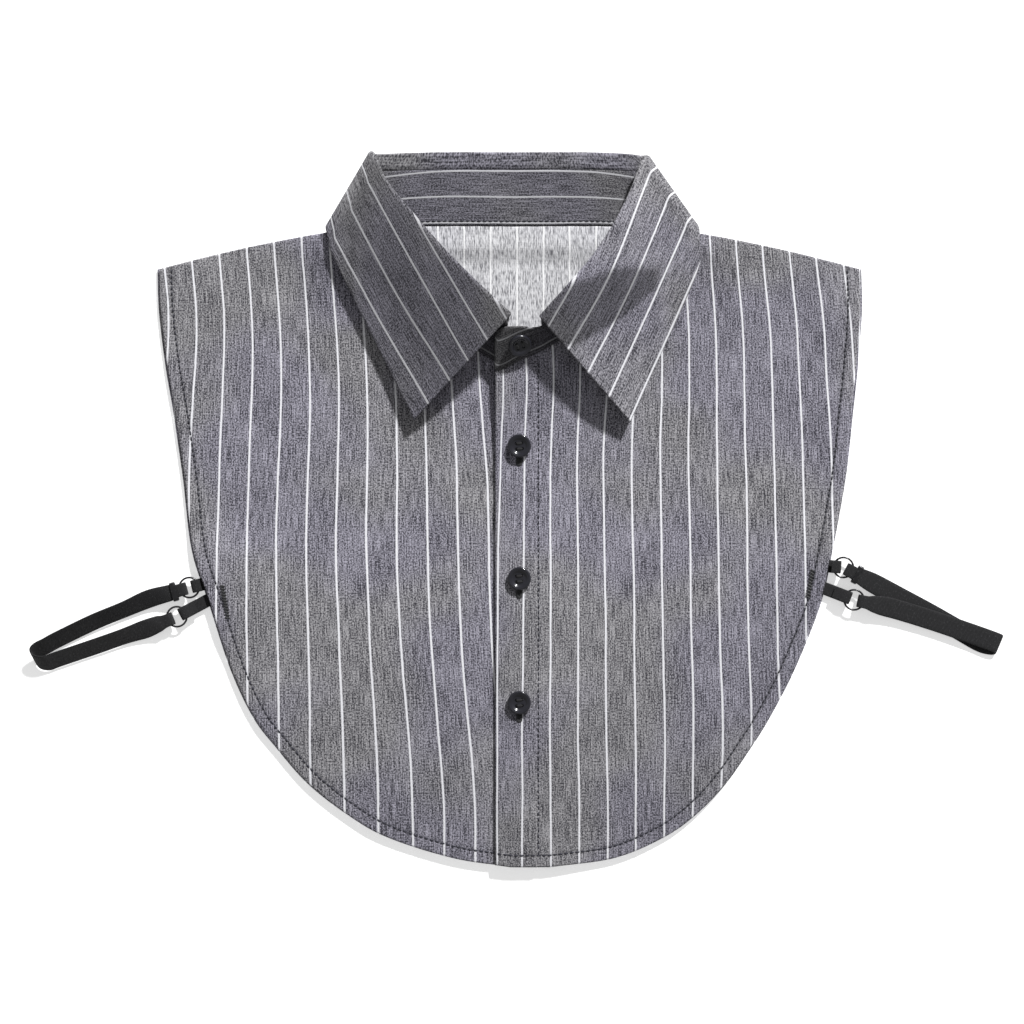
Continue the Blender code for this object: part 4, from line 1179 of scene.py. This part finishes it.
def build_leaf():
    middle, places, front = leaf_grid()
    rows, columns = middle.shape[:2]
    steps = np.linalg.norm(np.diff(middle, axis=1), axis=2)
    arcs = np.concatenate([np.zeros((rows, 1)), np.cumsum(steps, axis=1)], axis=1)
    drop = arcs - arcs[:, 6 + CREST_STEPS // 2, None]
    on_front = np.tile(front, (1, columns))
    plan = middle[..., :2].reshape(-1, 2)
    number = 1 + (drop - LEAF_FIRST) / LEAF_PITCH
    number = np.where(drop < 0, number - drop / (2 * LEAF_PITCH), number).ravel()
    along = np.tile(arc_lengths(middle[:, 6])[:, None], (1, columns)).ravel()
    is_left = np.tile((places < HALF_KEYS)[:, None], (1, columns)).ravel()
    blend = np.tile(ease((np.abs(places - HALF_KEYS) - CREASE_KEY) / 1.2)[:, None], (1, columns)).ravel()
    # Painted shade: the roll and the left front darker, and a painted shadow patch on the right front
    painted_shade = np.full(len(plan), ROLL_PAINTED_SHADE)
    for mask, way, table in (
        (is_left, LEFT_LEAF_WAY, LEFT_LEAF_STRIPES),
        (~is_left, RIGHT_LEAF_WAY, RIGHT_LEAF_STRIPES),
    ):
        x, y = plan[:, 0] * 1000, plan[:, 1] * 1000
        across = way[0] * x + way[1] * y
        level = way[1] * x - way[0] * y
        flat = stripe_numbers(table, across, level)
        number = np.where(mask, number * (1 - blend) + flat * blend, number)
        if way is LEFT_LEAF_WAY:
            # Painted shade: the left front darker, lighter towards its outer edge
            front_painted_shade = LEFT_FRONT_PAINTED_SHADE + 0.20 * ease((2 - across) / 16)
        else:
            # A painted shadow patch on the right front, below its top line and inside its edge curve
            edge = np.interp(level, *PAINTED_SHADOW_EDGE)
            top = PAINTED_SHADOW_TOP - 0.4 * np.maximum(50 - x, 0)
            dark = ease((edge + 1.2 - across) / 2.4) * ease((top - y) / 5 + 0.5)
            front_painted_shade = 0.95 - PAINTED_SHADOW_DARKNESS * dark
        painted_shade = np.where(mask, painted_shade * (1 - blend) + front_painted_shade * blend, painted_shade)
    bumps = 0.00018 * waves(plan, 12, 0.025, 0.07).reshape(rows, columns) * on_front
    middle = middle + grid_normals(middle) * bumps[..., None]
    relief = np.zeros((rows, columns))
    number = number.reshape(rows, columns)
    obj = grid_cloth(
        "collar_leaf_cloth", middle, LEAF_CLOTH, relief, number, along, LEAF_PITCH, painted_shade, [OUTSIDE]
    )
    return dress(obj, "collar_leaf", "collar_leaf")


# Buttons


def turned(profile, segments):
    """Points and faces of a shape turned from radius and height pairs, closed at both ends."""
    points, faces = [], []
    rings = []
    for radius, height in profile:
        if radius == 0:
            rings.append([len(points)])
            points.append((0.0, 0.0, height))
            continue
        rings.append(list(range(len(points), len(points) + segments)))
        for k in range(segments):
            angle = k * math.tau / segments
            points.append((radius * math.cos(angle), radius * math.sin(angle), height))
    for low, high in zip(rings, rings[1:]):
        for k in range(segments):
            m = (k + 1) % segments
            if len(low) == 1:
                faces.append((low[0], high[m], high[k]))
            elif len(high) == 1:
                faces.append((low[k], low[m], high[0]))
            else:
                faces.append((low[k], low[m], high[m], high[k]))
    return points, faces


def scene_object(name, points, faces):
    mesh = bpy.data.meshes.new(name)
    mesh.from_pydata(points, [], faces)
    obj = bpy.data.objects.new(name, mesh)
    bpy.context.scene.collection.objects.link(obj)
    return obj


def button_mesh(radius, height):
    """A dished four-hole button with a rounded rim, standing on z = 0."""
    profile = [(0.0, 0.0), (0.80 * radius, 0.0)]
    for angle in np.linspace(-60, 120, 13):
        turn = math.radians(angle)
        profile.append((radius * (0.86 + 0.14 * math.cos(turn)), height * (0.54 + 0.46 * math.sin(turn))))
    for share in np.linspace(0, 1, 9):
        dish = 0.74 - 0.24 * share
        profile.append((radius * dish, height * (0.92 - 0.30 * float(ease(share)))))
    profile += [(0.35 * radius, 0.60 * height), (0.18 * radius, 0.595 * height), (0.0, 0.595 * height)]
    disc = scene_object("button_disc", *turned(profile, 56))
    for x in (-1, 1):
        for y in (-1, 1):
            pin_profile = [(0.0, -height), (0.00075, -height), (0.00075, 2 * height), (0.0, 2 * height)]
            pin = scene_object("button_pin", *turned(pin_profile, 20))
            pin.location = (x * 0.0014, y * 0.0014, 0)
            cut = disc.modifiers.new("hole", "BOOLEAN")
            cut.object = pin
    bpy.context.view_layer.update()
    made = bpy.data.meshes.new_from_object(disc.evaluated_get(bpy.context.evaluated_depsgraph_get()))
    for obj in [o for o in bpy.data.objects if o.name.startswith(("button_disc", "button_pin"))]:
        bpy.data.objects.remove(obj, do_unlink=True)
    made.name = "button"
    made.materials.clear()
    made.materials.append(RESIN)
    made.shade_smooth()
    made.set_sharp_from_angle(angle=math.radians(35))
    return made


def thread_bars(height):
    """Two pairs of thread strands across a button's holes."""
    rows = []
    for x in (-0.0014, 0.0014):
        for shift in (-0.00026, 0.0, 0.00026):
            shares = np.linspace(-1, 1, 13)
            lift = 0.62 * height + 0.00035 * (1 - shares**4) - 0.0008 * shares**8
            path = np.column_stack([np.full(13, x + shift), shares * 0.0016, lift])
            rows.append(tube(path, 0.00018, 6))
    return rows


def tube(path, radius, sides, closed=False):
    """Points and faces of a round tube along a path; radius may be one value for each point."""
    path = np.array(path, float)
    radii = np.broadcast_to(radius, len(path))
    along = np.roll(path, -1, axis=0) - np.roll(path, 1, axis=0) if closed else np.gradient(path, axis=0)
    along = unit(along)
    helper = np.where(np.abs(along[:, 2:]) > 0.9, np.array([[1.0, 0, 0]]), np.array([[0, 0, 1.0]]))
    side = unit(np.cross(along, helper))
    up = np.cross(side, along)
    angles = np.arange(sides) * math.tau / sides
    spots = path[:, None] + radii[:, None, None] * (
        side[:, None] * np.cos(angles)[None, :, None] + up[:, None] * np.sin(angles)[None, :, None]
    )
    faces = []
    count = len(path)
    for i in range(count if closed else count - 1):
        a, b = i * sides, ((i + 1) % count) * sides
        for k in range(sides):
            m = (k + 1) % sides
            faces.append((a + k, b + k, b + m, a + m))
    if not closed:
        faces.append(tuple(range(sides)))
        faces.append(tuple((count - 1) * sides + k for k in reversed(range(sides))))
    return [tuple(p) for p in spots.reshape(-1, 3)], faces


def joined(rows):
    """Points and faces of several shapes as one."""
    points, faces = [], []
    for row_points, row_faces in rows:
        base = len(points)
        points += row_points
        faces += [tuple(i + base for i in face) for face in row_faces]
    return points, faces


def buttonhole(centre, over):
    """Short satin stitches round the line of a slit along the placket, and a black thread along its middle that stands
    in for the slit and the shade in it.
    """
    rows = []
    half = BUTTONHOLE_LENGTH / 2 - BUTTONHOLE_HALF
    turns = np.linspace(0, math.pi, 9)[1:-1]
    spots = [(1, 0, y) for y in np.arange(-half, half, SATIN_PITCH)]
    spots += [(math.cos(a), math.sin(a), half) for a in turns]
    spots += [(-1, 0, y) for y in np.arange(half, -half, -SATIN_PITCH)]
    spots += [(-math.cos(a), -math.sin(a), -half) for a in turns]
    for out_x, out_y, y in spots:
        shares = np.array([0.30, 0.55, 0.80, 1.0]) * BUTTONHOLE_HALF
        plan = np.column_stack([centre[0] + out_x * shares, centre[1] + y + out_y * shares])
        height = over(plan)[1] + THREAD_RADIUS * np.array([-0.2, 0.8, 0.8, -0.2])
        rows.append(tube(np.column_stack([plan, height]), THREAD_RADIUS * 0.8, 5))
    # A black thread along the middle stands in for the slit and the shade in it
    plan = np.column_stack([np.full(9, centre[0]), centre[1] + np.linspace(-half, half, 9)])
    rows.append(tube(np.column_stack([plan, over(plan)[1]]), THREAD_RADIUS, 5))
    return rows


def bar_tack(start, end, sides):
    """A dense zigzag of thread through the front where a strap's tabs are sewn in."""
    start, end = np.array(start), np.array(end)
    way = unit(end - start)
    across = np.array([-way[1], way[0]])
    count = int(np.linalg.norm(end - start) / TACK_PITCH)
    shares = np.linspace(0, 1, count)[:, None]
    swing = np.where(np.arange(count) % 2, 1, -1)[:, None] * TACK_HALF
    plan = filled(start + (end - start) * shares + across * swing, TACK_HALF)
    height = sides(plan)[1] + THREAD_RADIUS * 0.5
    return tube(np.column_stack([plan, height]), THREAD_RADIUS, 5)


def build_buttons(over):
    disc = None
    for name in ("placket_button_1", "placket_button_2", "placket_button_3", "stand_button"):
        solid = frame["nodes"][name]
        co = np.array([v.co for v in solid.data.vertices])
        centre = (co.min(axis=0) + co.max(axis=0)) / 2
        if disc is None:
            low, high = (np.array(c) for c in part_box(name))
            disc = button_mesh((high[0] - low[0]) / 2, high[2] - low[2])
        obj = bpy.data.objects.new(name + "_disc", disc.copy())
        bpy.context.scene.collection.objects.link(obj)
        _, _, axes = np.linalg.svd(co - co.mean(axis=0), full_matrices=False)
        normal = axes[2] if axes[2][2] > 0 else -axes[2]
        obj.rotation_mode = "QUATERNION"
        obj.rotation_quaternion = Vector(normal).to_track_quat("Z", "Y")
        obj.location = centre - normal * BUTTON_HEIGHT / 2
        dress(obj, name, name)
        if name.startswith("placket"):
            sewn = make_object(name + "_hole_satin", *joined(buttonhole(centre - np.array([0, BUTTONHOLE_DOWN, 0]), over)), [BLACK_THREAD])
            dress(sewn, name)
        sewn = make_object(name + "_thread", *joined(thread_bars(BUTTON_HEIGHT)), [BLACK_THREAD])
        sewn.rotation_mode = "QUATERNION"
        sewn.rotation_quaternion = obj.rotation_quaternion
        sewn.location = obj.location
        dress(sewn, name)


# Elastics, rings and sliders

ACROSS = np.array([-1, -0.97, -0.88, -0.7, -0.45, -0.2, 0, 0.2, 0.45, 0.7, 0.88, 0.97, 1])


def smoothed(rows, passes):
    rows = rows.copy()
    for _ in range(passes):
        rows[1:-1] = (rows[:-2] + 2 * rows[1:-1] + rows[2:]) / 4
    return rows


def elastic(name, slot, rows):
    """A woven elastic along rows of its middle line and of half its width as a vector."""
    rows = smoothed(filled(np.array(rows), 0.0007), 3)
    middle = rows[:, None, :3] + rows[:, None, 3:] * ACROSS[None, :, None]
    along = np.tile(arc_lengths(rows[:, :3])[:, None], (1, len(ACROSS)))
    across = np.tile(ACROSS * ELASTIC_WIDTH / 2, (len(rows), 1))
    normals = grid_normals(middle)
    thin = 0.30 + 0.70 * np.sqrt(1 - np.minimum(np.abs(ACROSS), 1) ** 8)
    half = (ELASTIC_THICK / 2 * thin)[None, :, None]
    low, high = (middle - normals * half).reshape(-1, 3), (middle + normals * half).reshape(-1, 3)
    weave = np.column_stack([across.ravel(), along.ravel()]) * 100
    stripe_and_shade = np.zeros_like(weave)
    obj = cloth_piece(name, low, high, grid_faces(*middle.shape[:2]), [ELASTIC], weave, stripe_and_shade)
    return dress(obj, slot, slot)


def loop_profile(inset):
    """Round a ring's wire, from below to above: distances from the ring's centre, and heights."""
    turns = np.linspace(-math.pi / 2, math.pi / 2, 12)
    bend = [(inset + LOOP_REACH * (1 - math.cos(a)), LOOP_REACH * math.sin(a)) for a in turns]
    return [(RING_CLEAR, -LOOP_REACH), *bend, (RING_CLEAR, LOOP_REACH)]


def placed(centre, way, profile, half_widths):
    """Rows of a ribbon whose profile stands on the line from a ring's centre along way."""
    way = unit(np.array(way, float))
    across = np.array([-way[1], way[0], 0.0])
    across = across if across[1] > 0 else -across
    rows = []
    for (along, height), half in zip(profile, half_widths):
        spot = (centre[0] + way[0] * along, centre[1] + way[1] * along, RING_HEIGHT + height)
        rows.append((*spot, *(across * half)))
    return rows


def build_tab(name):
    way_x, way_y, length, tail, inset = RINGS[name][2:]
    profile = [(length, -LOOP_REACH), *loop_profile(inset)]
    settle = RING_CLEAR + 2 * ELASTIC_THICK
    upper = ELASTIC_THICK + 2 * GAP - LOOP_REACH
    if tail > settle:
        profile += [(settle, (LOOP_REACH + upper) / 2), (tail, upper)]
    else:
        profile += [(tail, LOOP_REACH)]
    rows = placed(ring_place(name), (way_x, way_y), profile, [TAB_WIDTH / 2] * len(profile))
    elastic(name + "_tab_elastic", name + "_tab", rows)


def strap_loop(name, run_start):
    """Rows from the strap's tail round the ring's wire to where the free run begins."""
    centre, inset = ring_place(name), RINGS[name][-1]
    way = run_start - centre
    top = LOOP_REACH - GAP
    profile = [(STRAP_TAIL, -LOOP_REACH), *loop_profile(inset), (RING_CLEAR + ELASTIC_THICK, top)]
    profile += [(RING_CLEAR + ELASTIC_THICK + SLIDER_LENGTH, top)]
    narrow, wide = TAB_WIDTH / 2, ELASTIC_WIDTH / 2
    squeezed = wide * SLIDER_SQUEEZE
    halves = [squeezed] + [narrow] * (len(profile) - 2) + [squeezed]
    return placed(centre, way, profile, halves)


def build_strap(side):
    run, across = STRAP_RUNS[side], STRAP_SIDES[side]
    places = [strap_place(side, out, up) for out, up, _, _ in run]
    first = strap_loop(side + "_front", places[0])
    last = strap_loop(side + "_back", places[-1])[::-1]
    rows = []
    for (x, y), (_, _, height, lean) in zip(places, run):
        angle = STRAP_LEAN * lean
        flat = math.cos(angle) * ELASTIC_WIDTH / 2
        rise = math.sin(angle) * ELASTIC_WIDTH / 2
        rows.append((x, y, height * ELASTIC_WIDTH, across[0] * flat, across[1] * flat, rise))
    keys = [first[-1], *rows, last[0]]
    free = along_rows(keys, np.linspace(0, len(keys) - 1, 8 * (len(keys) - 1) + 1))
    elastic(side + "_strap_elastic", side + "_strap", [*first[:-1], *free, *last[1:]])


def build_rings():
    for name in RINGS:
        angles = np.arange(72) * math.tau / 72
        centre = ring_place(name)
        path = np.column_stack([
            centre[0] + RING_RADIUS * np.cos(angles),
            centre[1] + RING_RADIUS * np.sin(angles),
            np.full(72, RING_HEIGHT),
        ])
        obj = make_object(name + "_wire", *tube(path, RING_WIRE, 14, closed=True), [METAL])
        dress(obj, name + "_ring", name + "_ring")


def build_slider(side):
    """A flat rounded frame round the strap and its tail, next to the front ring."""
    centre = ring_place(side + "_front")
    way = unit(strap_place(side, *STRAP_RUNS[side][0][:2]) - centre)
    across = np.array([-way[1], way[0], 0.0])
    way = np.array([*way, 0.0])
    up = np.array([0.0, 0.0, 1.0])
    half = ELASTIC_WIDTH / 2 * SLIDER_SQUEEZE + GAP + SLIDER_BAR / 2
    low = RING_HEIGHT - LOOP_REACH - ELASTIC_THICK / 2 - GAP - SLIDER_BAR / 2
    high = RING_HEIGHT + LOOP_REACH + ELASTIC_THICK / 2 + SLIDER_BAR / 2
    middle = np.array([*centre, (low + high) / 2]) + way * (RING_CLEAR + ELASTIC_THICK + SLIDER_LENGTH / 2)
    tall = (high - low) / 2
    turns = np.arange(64) * math.tau / 64
    round_x = np.sign(np.cos(turns)) * np.abs(np.cos(turns)) ** (2 / 9)
    round_y = np.sign(np.sin(turns)) * np.abs(np.sin(turns)) ** (2 / 5)
    section = []
    for a in np.arange(12) * math.tau / 12:
        wide = math.copysign(abs(math.cos(a)) ** 0.5, math.cos(a)) * SLIDER_LENGTH / 2
        thick = math.copysign(abs(math.sin(a)) ** 0.7, math.sin(a)) * SLIDER_BAR / 2
        section.append((wide, thick))
    points, faces = [], []
    for x, y in zip(round_x, round_y):
        out = unit(across * x / half + up * y / tall)
        spot = middle + across * x * half + up * y * tall
        points += [spot + way * wide + out * thick for wide, thick in section]
    sides = len(section)
    for i in range(64):
        a, b = i * sides, ((i + 1) % 64) * sides
        faces += [(a + k, a + (k + 1) % sides, b + (k + 1) % sides, b + k) for k in range(sides)]
    obj = make_object(side + "_slider_frame", points, faces, [METAL])
    dress(obj, side + "_slider", side + "_slider")


# Stage


def build_stage():
    mesh = bpy.data.meshes.new("floor")
    reach = 3.0
    corners = [(-reach, -reach, -0.0002), (reach, -reach, -0.0002), (reach, reach, -0.0002), (-reach, reach, -0.0002)]
    mesh.from_pydata(corners, [], [(0, 1, 2, 3)])
    mesh.materials.append(floor_surface())
    floor = bpy.data.objects.new("floor", mesh)
    bpy.context.scene.collection.objects.link(floor)

    world = bpy.data.worlds.new("studio")
    world.use_nodes = True
    world.node_tree.nodes["Background"].inputs["Color"].default_value = (1, 1, 1, 1)
    world.node_tree.nodes["Background"].inputs["Strength"].default_value = 0.27
    bpy.context.scene.world = world

    sun = bpy.data.lights.new("window", "SUN")
    sun.energy = 5.2
    sun.angle = math.radians(5)
    lamp = bpy.data.objects.new("window", sun)
    turn, rise = math.radians(26), math.radians(29)
    to_sun = Vector((math.sin(turn) * math.cos(rise), math.cos(turn) * math.cos(rise), math.sin(rise)))
    lamp.rotation_mode = "QUATERNION"
    lamp.rotation_quaternion = to_sun.to_track_quat("Z", "Y")
    bpy.context.scene.collection.objects.link(lamp)

    lens = bpy.data.cameras.new("camera")
    lens.lens = 100
    camera = bpy.data.objects.new("camera", lens)
    camera.location = (-0.00125, -0.00125, 1.427)
    bpy.context.scene.collection.objects.link(camera)
    bpy.context.scene.camera = camera
    bpy.context.scene.view_settings.view_transform = "Standard"


def main():
    over = build_bib()
    build_stand()
    build_leaf()
    build_buttons(over)
    for name in RINGS:
        build_tab(name)
    build_rings()
    for side in STRAP_RUNS:
        build_strap(side)
        build_slider(side)
    build_stage()


main()
